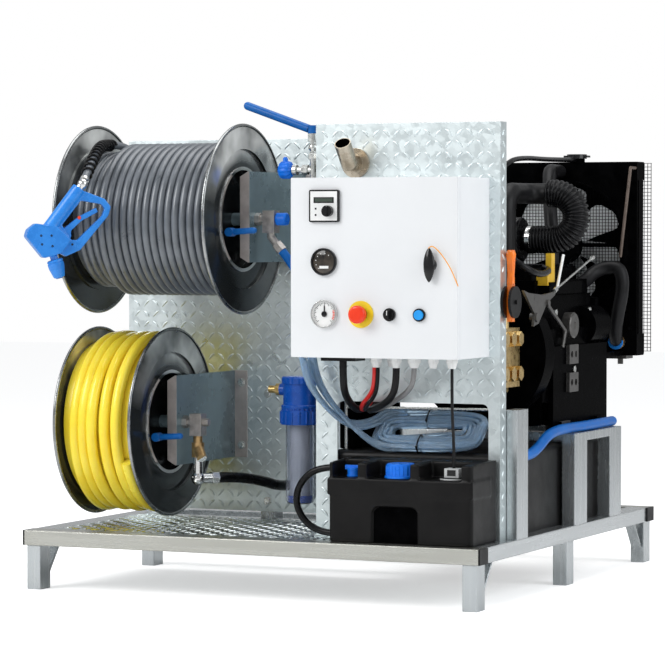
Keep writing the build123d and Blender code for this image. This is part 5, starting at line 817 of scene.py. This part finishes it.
# %% Hose tail of the spray gun
tail_route = route([TAIL_START, (1008.05, 165, 1034), (993, 110, 1028), (978, 58, 1009),
                    (968.9, 16.45, 982.3), (966.87, -12.31, 953.15)])
gun_tail = flexible("gun_tail", tail_route, GREY_RADIUS, "grey_hose")
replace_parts(gun_tail, "gun_hose")

# %% Cables under the cabinet
MOUTH_LINE = 285


def into_conduit(x):
    """The last points of a cable, through the window and up into the conduit."""
    return [(x, 205, 423), (x, 250, 427), (x, MOUTH_LINE, 450), (x, MOUTH_LINE, 490)]


CABLES = {
    "entry_cable": (8.5, "black_rubber", [(370, 100, 541), (370, 100, 500), (374, 118, 466), (378, 160, 440)]
                    + into_conduit(380)),
    "red_lead": (5.0, "lead_red", [(293, 100, 527), (293, 100, 497), (305, 112, 468), (350, 160, 440)]
                 + into_conduit(370.5)),
    "black_lead": (4.5, "black_rubber", [(285, 100, 527), (285, 100, 493), (297, 112, 462), (338, 158, 436)]
                   + into_conduit(363.5)),
    "power_cable": (8.0, "black_rubber", [(236, 90, 527), (236, 90, 487), (256, 104, 455), (312, 155, 432)]
                    + into_conduit(354)),
    "grey_cable": (6.0, "lead_grey", [(197, 100, 527), (197, 100, 497), (220, 112, 469), (290, 155, 436)]
                   + into_conduit(343.5)),
    "sender_lead": (3.5, "black_rubber", [(106, 100, 527), (106, 100, 477), (102, 92, 422), (92, 77, 362),
                                          (92, 77, 308)]),
    "conduit": (25.0, "black_rubber", [(362, 285, 490), (362, 285, 545), (356, 312, 590), (344, 365, 606),
                                       (331, 415, 596), (325, 455, 588), (325, 500, 588)]),
}
for name, (radius, key, places) in CABLES.items():
    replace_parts(flexible(name, route(places), radius, key), "cabinet_cables")
print("cables:", len(CABLES))

# %% Rubber, blue and clear hoses
CLEAR_RADIUS = 4.5
HOSES = {
    "tank_loop": (8.0, "gloss_rubber", "rubber_hoses", [
        (379, 100, 300), (413, 100, 300), (457, 100, 284), (485, 100, 246), (485, 100, 204), (457, 100, 166),
        (413, 100, 150), (379, 100, 150)]),
    "reel_inlet": (12.5, "gloss_rubber", "rubber_hoses", [
        (765.8, 266.6, 253), (734.6, 308.2, 253), (702, 385, 238.5), (688, 453, 220), (688, 542, 220)]),
    "upper_coolant_hose": (17.0, "black_rubber", "rubber_hoses", [
        (165, 908, 752), (165, 908, 812), (177, 926, 878), (197, 974, 940), (215, 1021, 984), (219, 1067, 983),
        (219, 1111, 983)]),
    "lower_coolant_hose": (17.0, "black_rubber", "rubber_hoses", [
        (122, 944, 698), (122, 1000, 698), (98, 1058, 743), (22, 1058, 743), (62, 1058, 556), (62, 1111, 556)]),
    "pump_hose": (10.0, "blue_hose", "blue_hoses", [
        (579, 225, 786), (551.2, 225, 754.5), (532, 237, 704), (519, 256, 631), (509, 280, 551), (487, 303, 486),
        (437, 323, 468), (362, 350, 511), (292, 350, 511)]),
    "blue_line": (12.0, "blue_hose", "blue_hoses", [
        (20, 309, 320.5), (20, 359, 320.5), (20, 419, 333.5), (20, 479, 359.5), (20, 549, 367.5),
        (23, 639, 367.5), (18, 739, 367.5), (20, 839, 367.5), (23, 949, 367.5)]),
    "clear_strand_in": (CLEAR_RADIUS, "clear_hose", "clear_hoses", [
        (496, 215, 880), (496, 215, 820), (488, 189, 740), (480, 161, 650), (476, 151, 570), (466, 151, 508),
        (438, 159, 452), (400, 177, 404), (364, 203, 361.9), (330, 222.8, 337.9), (300, 222.8, 337.9)]),
    "clear_strand_out": (CLEAR_RADIUS, "clear_hose", "clear_hoses", [
        (480, 123, 543), (472, 127, 491), (446, 141, 445), (412, 165, 405), (384, 205, 385), (356, 255, 394.9),
        (340, 298.5, 416.9), (300, 298.5, 416.9)]),
}
for name, (radius, key, node, places) in HOSES.items():
    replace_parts(flexible(name, route(places), radius, key), node)
print("hoses:", len(HOSES))

# %% Hank of clear hose
HANK_MIDDLE = spot(225, 262, 372)
HANK_LEAN = math.radians(41.0)
HANK_UP = Vector((0, math.cos(HANK_LEAN), math.sin(HANK_LEAN)))
HANK_OUT = Vector((0, -math.sin(HANK_LEAN), math.cos(HANK_LEAN)))
HANK_RUN = 75
HANK_LEVELS = (-57, 57, -47, 47, -37, 37, -28, 29, -20, 21, -13, 14, -24, 24, -33, 33, -43, 42, -52, 52, -57, 57)
SECOND_LAYER = 10


def hank_point(along, level, rise):
    return HANK_MIDDLE + (RIGHTWARD * along + HANK_UP * level + HANK_OUT * rise) / 1000.0


def hank_rise(number):
    """How far a pass stands out: a little uneven, and higher where it lies over others."""
    return round(4 * math.sin(2.4 * number)) + (10 if number > SECOND_LAYER else 0)


def hank_points():
    """Eleven rounds of hose laid beside and over each other, level by level."""
    points = []
    for number, level in enumerate(HANK_LEVELS):
        end = HANK_RUN if number % 2 == 0 else -HANK_RUN
        rise, after_rise = hank_rise(number), hank_rise(number + 1)
        points += [hank_point(-end, level, rise), hank_point(0, level, (rise + after_rise) / 2),
                   hank_point(end, level, after_rise)]
        if number < len(HANK_LEVELS) - 1:
            climb = HANK_LEVELS[number + 1] - level
            bulge = end + math.copysign(abs(climb) / 2, end)
            points += [hank_point(bulge, level + climb * share, after_rise) for share in (0.12, 0.5, 0.88)]
    return points


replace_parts(flexible("clear_hank", hank_points(), CLEAR_RADIUS, "clear_hose"), "clear_hoses")
print("hank:", len(hank_points()), "points")

# %% More strands of clear hose, and ties
STRAND_OFFSETS = ((6, 0, 6), (-6, 0, -6), (1, 9, 1), (7, 9, 7), (-6, 9, -5))
for number, (left, back, rise) in enumerate(STRAND_OFFSETS):
    for kind in ("clear_strand_in", "clear_strand_out"):
        places = [(x + left, y + back, z + rise) for x, y, z in HOSES[kind][3]]
        flexible(f"{kind}_{number}", route(places), CLEAR_RADIUS, "clear_hose")


def tie(name, along, low, high):
    """A black band round one side of the hank."""
    ring = [(low - 7, 6), (low - 6, 20), (high + 6, 20), (high + 7, 6), (high + 6, -9), (low - 6, -9)]
    points = [hank_point(along, level, rise) for level, rise in ring + ring[:2]]
    flexible(name, points, 2.0, "black_plastic")


tie("upper_tie", -12, 29, 57)
tie("lower_tie", -10, -57, -28)

# %% [markdown]
# ## Corrugated air hose
# The hose from the air cleaner is a ribbed rubber tube bent back on itself. Its ribs are rings of the
# same tube, so a profile of crests and valleys is carried along the centre line.

# %% Air hose
AIR_LINE, AIR_HEIGHT, AIR_BEND = 840.0, 812.0, 56.0
AIR_START, AIR_RUN, AIR_END = 190, 55.0, 17
AIR_RIBS = 30
RINGS_A_RIB = 8
AIR_SIDES = 32


def air_station(length):
    """Point and outward direction across the bend, along the hose."""
    turn, bend_start = math.pi * AIR_BEND, AIR_START - AIR_RUN
    if length <= AIR_RUN:
        return (AIR_START - length, AIR_HEIGHT), (0.0, 1.0)
    if length <= AIR_RUN + turn:
        angle = (length - AIR_RUN) / AIR_BEND
        return ((bend_start - AIR_BEND * math.sin(angle), AIR_HEIGHT + AIR_BEND * (1 - math.cos(angle))),
                (math.sin(angle), math.cos(angle)))
    return (bend_start + length - AIR_RUN - turn, AIR_HEIGHT + 2 * AIR_BEND), (0.0, -1.0)


def air_hose():
    whole = AIR_RUN + math.pi * AIR_BEND + AIR_END
    verts, faces = [], []
    rings = AIR_RIBS * RINGS_A_RIB
    for ring in range(rings + 1):
        (x, z), (across, up) = air_station(whole * ring / rings)
        radius = 31.6 + 2.4 * math.tanh(2.2 * math.sin(2 * math.pi * ring / RINGS_A_RIB - 1.2))
        for side in range(AIR_SIDES):
            angle = 2 * math.pi * side / AIR_SIDES
            over, out = radius * math.cos(angle), radius * math.sin(angle)
            verts.append(spot(x + across * out, AIR_LINE + over, z + up * out))
    for ring in range(rings):
        faces += ring_faces(ring * AIR_SIDES, (ring + 1) * AIR_SIDES, AIR_SIDES)
    faces.append(tuple(range(AIR_SIDES)))
    faces.append(tuple(rings * AIR_SIDES + side for side in range(AIR_SIDES)))
    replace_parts(smooth_piece("air_hose_ribs", verts, faces, "gloss_rubber"), "air_hose")
    print("air hose:", AIR_RIBS, "ribs")


air_hose()

# %% [markdown]
# ## Spray gun
# The gun is moulded plastic, so no edge on it is sharp. The CAD body is copied, remeshed into small even
# faces and smoothed, which rounds every corner the way a mould does.


# %% Moulded copies
def islands(mesh):
    """The separate solids of a mesh."""
    bm = bmesh.new()
    bm.from_mesh(mesh)
    bmesh.ops.remove_doubles(bm, verts=bm.verts, dist=1e-6)
    left = set(bm.verts)
    groups = []
    while left:
        stack = [left.pop()]
        group = set(stack)
        while stack:
            vert = stack.pop()
            for edge in vert.link_edges:
                other = edge.other_vert(vert)
                if other in left:
                    left.remove(other)
                    group.add(other)
                    stack.append(other)
        groups.append(group)
    made = []
    for group in groups:
        piece = bmesh.new()
        renamed = {vert: piece.verts.new(vert.co) for vert in sorted(group, key=lambda vert: vert.index)}
        for face in bm.faces:
            if face.verts[0] in group:
                piece.faces.new([renamed[vert] for vert in face.verts])
        made.append(piece)
    bm.free()
    return made


def evaluated(thing):
    """A mesh of an object as its modifiers or its curve settings make it."""
    return bpy.data.meshes.new_from_object(thing.evaluated_get(bpy.context.evaluated_depsgraph_get()))


def moulded(name, piece, key, body, voxel, rounds=6):
    """Remesh a closed solid into even faces and smooth it."""
    mesh = bpy.data.meshes.new(name)
    piece.to_mesh(mesh)
    piece.free()
    made = placed(name, mesh)
    remesh = made.modifiers.new("even_faces", "REMESH")
    remesh.mode = "VOXEL"
    remesh.voxel_size = voxel
    smooth = made.modifiers.new("round_edges", "SMOOTH")
    smooth.iterations = rounds
    smooth.factor = 0.5
    result = evaluated(made)
    made.modifiers.clear()
    made.data = result
    bpy.data.meshes.remove(mesh)
    result.shade_smooth()
    result.materials.clear()
    result.materials.append(finishes[key])
    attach(made, body)
    print(name, len(result.vertices), "points")
    return made


def largest_first(pieces):
    return sorted(pieces, key=lambda piece: -piece.calc_volume(signed=False))


# %% Gun body, couplings and trigger
gun_solids = largest_first(islands(nodes["gun_body"].data))
gun_shell = moulded("gun_shell", gun_solids[0], "blue_plastic", "skid", 0.0013)
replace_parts(gun_shell, "gun_body")
for number, solid in enumerate(gun_solids[1:]):
    mesh = bpy.data.meshes.new(f"gun_coupling_{number}")
    solid.to_mesh(mesh)
    solid.free()
    mesh.shade_smooth()
    mesh.set_sharp_from_angle(angle=math.radians(40))
    carried(mesh.name, mesh, "skid", "bright_steel")
trigger_solid = islands(nodes["gun_trigger"].data)[0]
trigger = moulded("gun_trigger_moulded", trigger_solid, "blue_plastic", "gun_trigger", 0.0011, 8)
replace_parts(trigger, "gun_trigger")


# %% Bend guard round the tail
def spline_line(curve_object):
    """Points along a curve's own line, without its thickness."""
    bare = curve_object.data.copy()
    bare.bevel_depth = 0.0
    holder = placed("bare_line", bare)
    mesh = evaluated(holder)
    points = [vert.co.copy() for vert in mesh.vertices]
    bpy.data.objects.remove(holder)
    bpy.data.curves.remove(bare)
    bpy.data.meshes.remove(mesh)
    return points


def along_line(points, share):
    """Point and direction at a share of a line's length."""
    lengths = [(b - a).length for a, b in zip(points, points[1:])]
    left = share * sum(lengths)
    for number, length in enumerate(lengths):
        if left <= length or number == len(lengths) - 1:
            way = (points[number + 1] - points[number]).normalized()
            return points[number] + way * left, way
        left -= length


GUARD_TURNS = 14
COIL_POINTS = 14
COIL_RADIUS = 0.0120
guard_line = spline_line(gun_tail)
coils = []
for number in range(GUARD_TURNS * COIL_POINTS + 1):
    angle = 2 * math.pi * number / COIL_POINTS
    middle, way = along_line(guard_line, 0.04 + 0.92 * number / (GUARD_TURNS * COIL_POINTS))
    side = (RIGHTWARD - way * way.x).normalized()
    up = way.cross(side)
    coils.append(middle + (side * math.cos(angle) + up * math.sin(angle)) * COIL_RADIUS)
guard = flexible("bend_guard_coil", coils, 2.9, "gloss_rubber", order=4)
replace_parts(guard, "bend_guard")

# %% [markdown]
# ## Small pieces
# Most small parts are turned on a lathe or cut from bar and plate. A few makers are enough for nearly
# all of them: a turned shape along a direction, a band, a rod between two places, a box between three
# spans, and an upright plate cut to an outline. The last function joins such shapes into one piece.


# %% Shape makers
def turned(start, way, profile, sides=32, ribs=0.0, hollow=False):
    """A turned shape: pairs of distance and radius in millimetres along a direction.

    A hollow shape joins its last pair to its first and has no end faces.
    """
    way = way.normalized()
    side = way.orthogonal().normalized()
    other = way.cross(side)
    verts, faces = [], []
    for distance, radius in profile:
        for number in range(sides):
            angle = 2 * math.pi * (number + 0.5) / sides
            here = radius - ribs * ((number // 2) % 2)
            around = side * math.cos(angle) + other * math.sin(angle)
            verts.append(start + (way * distance + around * here) / 1000.0)
    for ring in range(len(profile) if hollow else len(profile) - 1):
        faces += ring_faces(ring * sides, (ring + 1) % len(profile) * sides, sides)
    if not hollow:
        faces.append(tuple(range(sides))[::-1])
        faces.append(tuple(len(verts) - sides + number for number in range(sides)))
    return verts, faces


BOX_FACES = [(0, 1, 3, 2), (4, 6, 7, 5), (0, 4, 5, 1), (2, 3, 7, 6), (0, 2, 6, 4), (1, 5, 7, 3)]


def slab(x, y, z):
    return [spot(a, b, c) for a in x for b in y for c in z], BOX_FACES


def band(place, way, radius, length):
    return turned(spot(*place), way, [(0, radius), (length, radius)])


def strut(first, last, radius, sides=16):
    """A rod between two places."""
    start, way = spot(*first), spot(*last) - spot(*first)
    return turned(start, way, [(0, radius), (way.length * 1000, radius)], sides)


def upright_plate(x, outline):
    """A plate across two x places, cut to an outline of (y, z) places."""
    count = len(outline)
    verts = [spot(place, y, z) for place in x for y, z in outline]
    faces = [tuple(range(count)), tuple(range(2 * count - 1, count - 1, -1))]
    return verts, faces + ring_faces(0, count, count)


def trim(name, key, shapes, body="skid"):
    """Join shapes into one piece with one finish, carried by a body."""
    bm = bmesh.new()
    for verts, faces in shapes:
        made = [bm.verts.new(vert) for vert in verts]
        for face in faces:
            bm.faces.new([made[corner] for corner in face])
    bmesh.ops.recalc_face_normals(bm, faces=bm.faces)
    mesh = bpy.data.meshes.new(name)
    bm.to_mesh(mesh)
    bm.free()
    mesh.shade_smooth()
    mesh.set_sharp_from_angle(angle=math.radians(35))
    return carried(name, mesh, body, key)


# %% [markdown]
# ## Face of the cabinet
# The controller has a pale face with a small display, the hour meter a dark glass, and the pressure
# gauge a printed scale: ticks all round and red ones at the top of the range.

# %% Controller and hour meter
METER = (374, 764)
MARK_RADIUS = 19
trim("controller_face", "white_plastic", [slab((340, 405), (-1.25, -1.0), (855.5, 920.5))], "door")
trim("display_frame", "gloss_black", [slab((348, 397), (-1.7, -1.25), (894.5, 907.5))]
     + [slab((390, 394), (-1.7, -1.25), (height, height + 4)) for height in (866, 880)], "door")
trim("display_glass", "display_green", [slab((351, 394), (-2.0, -1.7), (897, 905))], "door")
trim("knob_line", "white_plastic", [slab((360.2, 361.8), (-12.6, -12.3), (879.5, 888))], "controller_knob")
glass = turned(spot(METER[0], 4, METER[1]), FORWARD, [(0, 26.3), (2, 26.3), (2.6, 25)])
trim("meter_glass", "meter_face", [glass], "door")
trim("meter_counter", "white_plastic", [slab((362, 384), (1.0, 1.4), (749, 755))], "door")
marks = [(METER[0] + MARK_RADIUS * math.sin(math.radians(turn)), METER[1] + MARK_RADIUS * math.cos(math.radians(turn)))
         for turn in range(-40, 141, 30)]
trim("meter_marks", "white_plastic", [slab((x - 1, x + 1), (1.0, 1.4), (z - 1, z + 1)) for x, z in marks], "door")


# %% Pressure gauge
def spoke(y, turn, inner, outer, width):
    """A flat mark that points away from the middle of the dial; turn is clockwise from the top."""
    out = Vector((math.sin(math.radians(turn)), 0, math.cos(math.radians(turn))))
    side = Vector((out.z, 0, -out.x))
    verts = [spot(GAUGE.x, y + depth, GAUGE.y) + (out * reach + side * half) / 1000.0
             for reach in (inner, outer) for half in (-width / 2, width / 2) for depth in (0, -0.3)]
    return verts, BOX_FACES


trim("gauge_ticks", "gloss_black", [spoke(4, turn, 20 if turn % 27 == 0 else 22.5, 25.5, 1.1)
                                    for turn in range(-135, 136, 9)], "door")
trim("gauge_red", "stop_red", [spoke(3.7, turn, 20.5, 26, 2.0) for turn in range(72, 118, 9)], "door")
hub = turned(spot(GAUGE.x, 2.7, GAUGE.y), FORWARD, [(0, 6.5), (1.2, 6.5), (1.6, 5)])
trim("gauge_hub", "gloss_black", [hub], "gauge_needle")
trim("selector_line", "white_plastic", [slab((215.1, 216.9), (-12.3, -12.0), (647, 657))], "selector")

# %% Wing handle and its cord
HANDLE_X, HANDLE_Z = 118, 758
WING_LINE = -6.3
WING_HALF, WING_RADIUS, WING_FLAT = 38, 13, 0.52
wing = [(WING_HALF * share, max(WING_RADIUS * (1 - share * share) ** 0.7, 0.4))
        for share in [number / 12 - 1 for number in range(25)]]
verts, faces = turned(spot(HANDLE_X, WING_LINE, HANDLE_Z), UPWARD, wing, 24)
middle = behind(WING_LINE)
verts = [Vector((vert.x, middle + WING_FLAT * (vert.y - middle), vert.z)) for vert in verts]
boss = turned(spot(HANDLE_X, 5.7, HANDLE_Z), FORWARD, [(0, 14), (7, 14), (8.5, 12.5)])
latch = [strut((HANDLE_X, 5.7, HANDLE_Z), (HANDLE_X, 12.3, HANDLE_Z), 3.0),
         slab((78, 126), (8.3, 12.3), (750, 766))]
handle = trim("wing_handle", "gloss_black", [(verts, faces), boss, *latch], "handle")
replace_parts(handle, "door_handle")
flexible("key_cord", route([(118, -8, 795), (110, -13, 802), (92, -12, 789), (70, -3, 755), (58, 2, 724),
                            (55, 8, 712)]), 1.2, "cord_orange", "door")
print("cabinet face done")

# %% [markdown]
# ## Tanks and filter
# A moulded tank has no sharp edge. The front tank's solid gets a shoulder round its upper half and is
# then remeshed and smoothed, like the gun; the back of its handle recess is painted a deeper black, as
# painted shade. A raised part of the water tank, which shows through the window, is made the same way,
# with a forward block that lays black over a pale strip there, as painted shade. The cap, the tap, the
# sender and the filter get their small visible parts.


# %% Moulded tanks
def add_block(solid, low, high):
    """A box between two places, joined to a solid when that is remeshed."""
    low, high = spot(*low), spot(*high)
    place = Matrix.Translation((low + high) / 2) @ Matrix.Diagonal((*(high - low), 1.0))
    bmesh.ops.create_cube(solid, size=1.0, matrix=place)


RECESS_SIDES, RECESS_TOP = (272, 165), 0.24
RECESS_START, RECESS_DEPTH = 0.004, 0.03
FACES_FRONT = -0.8
tank = islands(nodes["front_tank"].data)[0]
add_block(tank, (381.5, 35.5, 244), (31.5, 150, 281))
tank_shell = moulded("tank_shell", tank, "tank_black", "skid", 0.0026, 5)
tank_shell.data.materials.append(finishes["engine_black"])
recess_line = min(vert.co.y for vert in tank_shell.data.vertices) + RECESS_START
recess_left, recess_right = [leftward(side) for side in RECESS_SIDES]
# The front faces deep in the handle recess take the deeper black finish, darker than the tank: painted shade that
# makes the recess look deeper.
for face in tank_shell.data.polygons:
    at = face.center
    in_painted_shade_recess = recess_left < at.x < recess_right and at.z < RECESS_TOP
    if in_painted_shade_recess and face.normal.y < FACES_FRONT and recess_line < at.y < recess_line + RECESS_DEPTH:
        face.material_index = 1
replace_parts(tank_shell, "front_tank")

# %% Cap, tap and sender
WELL_LINE, WELL_FLOOR = 77, 283
trim("cap_skirt", "cap_blue", [
    turned(spot(219, WELL_LINE, WELL_FLOOR), UPWARD, [(0, 36.5), (4, 36.5), (6, 34.5)], 48),
    turned(spot(219, WELL_LINE, 314), UPWARD, [(0, 31), (1.6, 29.5), (1.6, 22), (0.6, 20)], 48)], "tank_cap")
trim("tap_sleeve", "cap_blue", [
    turned(spot(333, WELL_LINE, WELL_FLOOR), UPWARD, [(0, 16), (3, 16), (4, 14.6), (13, 14.6)], 32)])
trim("sender_flange", "grey_plastic", [
    turned(spot(92, WELL_LINE, WELL_FLOOR), UPWARD, [(0, 31), (2.5, 31), (4, 28)], 40)])
# The slot is a thin black sheet on the sender head: painted shade of its opening.
trim("sender_slot_painted_shade", "gloss_black", [slab((82, 102), (61.6, 62.0), (292, 305))])
trim("loop_clamps", "bright_steel", [band((382, 100, height), LEFTWARD, 9.3, 9) for height in (300, 150)])

# %% Behind the window
trim("window_rod", "zinc_plate", [strut((424, 240, 300), (424, 240, 470), 4),
                                  strut((424, 240, 428), (62, 240, 430), 3)])
riser_and_shade = bmesh.new()
add_block(riser_and_shade, (446, 316, 331), (346, 380, 441))
# The second block is painted shade: it reaches forward and lays black over a pale strip seen through the window.
add_block(riser_and_shade, (446, 250, 331), (408, 340, 441))
moulded("tank_riser_and_painted_shade", riser_and_shade, "engine_black", "skid", 0.004, 5)


# %% Water filter
def on_filter(height, profile, sides=32, ribs=0.0):
    return turned(spot(628, 430, height), UPWARD, profile, sides, ribs)


trim("filter_ribs", "filter_blue", [on_filter(377, [(0, 44), (36, 44)], 96, 2.2),
                                    on_filter(412, [(0, 44.5), (6, 44.5), (8, 43)], 48),
                                    on_filter(470, [(0, 43.5), (14, 43.5), (17, 41)], 96, 1.2)])
trim("filter_foot", "filter_blue", [on_filter(187.5, [(0, 26), (10, 30), (16, 30)])])
print("tanks and filter done")

# %% [markdown]
# ## Engine and radiator
# The engine is black on black, so its shape is told by the small bright things on it: clamps, bolts,
# rods and brackets. Fine wire mesh covers the fan and the back of the radiator.


# %% Wire mesh
def lattice(x, y, z, pitch, thick):
    """Crossed wires over a field, in two layers that touch."""
    def places(span):
        reach = span[1] - span[0] - thick
        count = round(reach / pitch)
        return [span[0] + number * reach / count for number in range(count + 1)]

    return ([slab((place, place + thick), (y, y + thick), z) for place in places(x)]
            + [slab(x, (y + thick, y + 2 * thick), (height, height + thick)) for height in places(z)])


fan_mesh = trim("fan_mesh", "engine_black", lattice((30, 425), 1078, (590, 958), 8.0, 1.3)
                + [strut((x, 1078, z), (x, 1111, z), 5) for x in (30, 425) for z in (590, 958)])
rear_mesh = trim("rear_mesh", "dark_steel", lattice((4, 436), 1189.9, (530, 1004), 9.0, 1.5)
                 + [strut((x, 1170, z), (x, 1192, z), 5) for x in (59.3, 380.7) for z in (549, 983)])
stay = trim("radiator_stay", "stay_brown", [strut((20, 1074, 990), (46, 1074, 768), 4),
                                            strut((20, 1074, 990), (20, 1111, 990), 4)])
for made in (fan_mesh, rear_mesh, stay):
    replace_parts(made, "radiator_guard")

# %% Fan blades
FAN_MIDDLE = spot(197, 1106, 798)
BLADES = 7
BLADE_STEPS = 12
BLADE_ROOT, BLADE_LENGTH, BLADE_SHEET = 36, 110, 1.2


def fan_blade(number):
    """A swept and twisted blade, rounded at its tip, as four corners at each step outward."""
    angle = 2 * math.pi * number / BLADES
    radial = UPWARD * math.cos(angle) + RIGHTWARD * math.sin(angle)
    along = RIGHTWARD * math.cos(angle) - UPWARD * math.sin(angle)
    verts, faces = [], []
    for step in range(BLADE_STEPS):
        share = step / (BLADE_STEPS - 1)
        tip = max(share - 0.7, 0.0) / 0.3
        half = (22 + 24 * share) * math.sqrt(max(1 - tip * tip, 0.02))
        pitch = math.radians(30 - 13 * share)
        corners = ((-half, -BLADE_SHEET), (half, -BLADE_SHEET), (half, BLADE_SHEET), (-half, BLADE_SHEET))
        for edge, face in corners:
            across = along * (edge * math.cos(pitch) + 14 * share * share)
            out = radial * (BLADE_ROOT + BLADE_LENGTH * share) + across
            verts.append(FAN_MIDDLE + (out + BACKWARD * (edge * math.sin(pitch) + face)) / 1000.0)
    for step in range(BLADE_STEPS - 1):
        faces += ring_faces(4 * step, 4 * step + 4, 4)
    last = 4 * (BLADE_STEPS - 1)
    return verts, faces + [(3, 2, 1, 0), (last, last + 1, last + 2, last + 3)]


fan = trim("fan_wheel", "fan_grey", [fan_blade(number) for number in range(BLADES)]
           + [turned(spot(197, 1093, 798), BACKWARD, [(0, 10), (4, 10), (4, 42), (22, 42)])], "fan")
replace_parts(fan, "cooling_fan")
print("fan blades:", BLADES)

# %% Small hoses and clamps
flexible("overflow_hose", route([
    (200, 522, 704), (203, 502, 770), (198, 488, 850), (180, 500, 930), (160, 530, 976), (150, 560, 992),
    (152, 610, 1003), (160, 720, 1008), (172, 860, 1008), (183, 1010, 1010), (185, 1118, 1012)]), 6.0,
         "gloss_rubber")
flexible("breather_hose", route([
    (104, 470, 768), (66, 470, 742), (58, 540, 730), (60, 610, 741), (88, 640, 745)]), 8.0, "gloss_rubber")
trim("hose_clamps", "bright_steel", [band((201, 840, 812), RIGHTWARD, 34.6, 11),
                                     band((122, 952, 698), BACKWARD, 18.2, 9)])
trim("blue_clip", "blue_plastic", [band((62, 1083, 556), BACKWARD, 18.6, 7)])
trim("copper_clamp", "bronze", [band((62, 1094, 556), BACKWARD, 18.6, 9)])

# %% Throttle rods and bracket
trim("throttle_rods", "zinc_plate", [strut((50, 611, 694), (50, 873, 767), 2.6),
                                     strut((50, 861, 764), (50, 880, 769), 6),
                                     strut((50, 603, 691), (50, 618, 696), 6)])
trim("stop_rod", "white_plastic", [strut((52, 632, 700), (54, 680, 776), 3.4)])
trim("throttle_bracket", "dark_steel", [upright_plate((48, 54), [
    (397, 697), (430, 690), (520, 684), (611, 690), (606, 682), (552, 664), (496, 618), (463, 612),
    (470, 640)])])
trim("lever_arm", "dark_steel", [strut((52, 557, 664), (52, 688, 596), 5), strut((52, 688, 596), (52, 668, 556), 5),
                                 strut((44, 557, 664), (62, 557, 664), 8), strut((44, 480, 632), (62, 480, 632), 11)])

# %% Engine parts and bolts
LARGE_BOLTS = ((745, 536), (745, 502))
SMALL_BOLTS = ((905, 481), (590, 560), (640, 640), (880, 640))
HEXAGON = 6
trim("fuel_part", "lamp_yellow", [slab((64, 92), (598, 648), (704, 732)), slab((64, 78), (624, 648), (732, 780))])
trim("oil_filter", "dark_steel", [
    turned(spot(63, 724, 608), RIGHTWARD, [(0, 31), (20, 31), (23, 28), (23, 9), (21, 8)])])
trim("engine_bolts", "zinc_plate",
     [turned(spot(58, y, z), RIGHTWARD, [(0, 13), (3, 13), (3, 9), (11, 9)], HEXAGON) for y, z in LARGE_BOLTS]
     + [turned(spot(62, y, z), RIGHTWARD, [(0, 8), (6, 8)], HEXAGON) for y, z in SMALL_BOLTS])
trim("radiator_foot", "dark_steel", [slab((38, 96), (1098, 1150), (514, 522)),
                                     strut((62, 1124, 500), (62, 1124, 514), 7, HEXAGON)])

# %% Knobs and caps
trim("throttle_knob", "throttle_orange", [turned(spot(18, 234, 711), UPWARD, [
    (0, 6), (4, 9), (20, 8), (40, 7), (52, 8.2), (62, 11), (70, 11.5), (76, 9.5), (79, 5)])], "throttle")
trim("swivel_cap", "cap_blue", [
    turned(spot(592.5, 225, 860), RIGHTWARD, [(0, 13), (3, 15.5), (24, 15.5), (27, 13)], 24, 0.8)])
valve_wheel = trim("valve_wheel", "cap_blue", [
    turned(spot(546.4, 215, 973), LEFTWARD, [
        (0, 9), (3, 14), (7, 19.5), (10, 20.5), (27, 20.5), (31, 18), (34, 10), (36, 9)], 48, 1.5),
    turned(spot(566, 215, 973), UPWARD, [(0, 6), (26, 6), (30, 3.5)])], "bypass_knob")
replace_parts(valve_wheel, "bypass_knob")
print("engine details done")

# %% [markdown]
# ## Details of the spray gun
# The gun's own plane is turned to the camera. Places on it are measured from its hose inlet: along the
# gun and up, with a third number for how far a piece stands out of the side. The collar is a hollow
# turned shape, so that the nozzle shows in its end.

# %% Gun screws and catch
GUN_ALONG = Vector((0.766044, 0.642788, 0.0))
GUN_OUT = Vector((0.642788, -0.766044, 0.0))
GUN_INLET = spot(972, -30, 930)
GUN_SIDE = 15.5
GUN_SCREWS = ((-92, -108), (-68, -108), (-90, -128), (-66, -132), (-20, -128))


def on_gun(along, up, out):
    return GUN_INLET + (GUN_ALONG * along + UPWARD * up + GUN_OUT * out) / 1000.0


trim("gun_screws", "gloss_black", [
    turned(on_gun(along, up, GUN_SIDE), GUN_OUT, [(0, 2.6), (1.9, 2.6), (1.9, 1.2), (1.5, 1.0)])
    for along, up in GUN_SCREWS])
catch = turned(on_gun(-2, -67, 4), GUN_OUT, [(0, 4), (3.5, 4), (4.5, 2.8)])
trim("trigger_catch", "stop_red", [catch], "gun_trigger")

# %% Nozzle and collar
NOZZLE_WAY = Vector((0.210441, 0.176581, -0.961526))
trim("nozzle_bore", "gloss_black", [turned(on_gun(-46, -205, 0), NOZZLE_WAY, [(-3, 7.5), (0.3, 7.5)])])
collar = trim("collar_sleeve", "blue_plastic", [turned(on_gun(-60, -156, 0), NOZZLE_WAY, [
    (7, 9.5), (7, 15.5), (9, 18.2), (12, 18.8), (13, 17.8), (15, 17.8), (16, 19), (26, 18.4), (38, 15.4), (45, 13.8),
    (48, 12.4), (48.9, 10.8), (48.9, 9.5)], 40, hollow=True)], "gun_collar")
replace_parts(collar, "gun_collar")
print("gun details done")
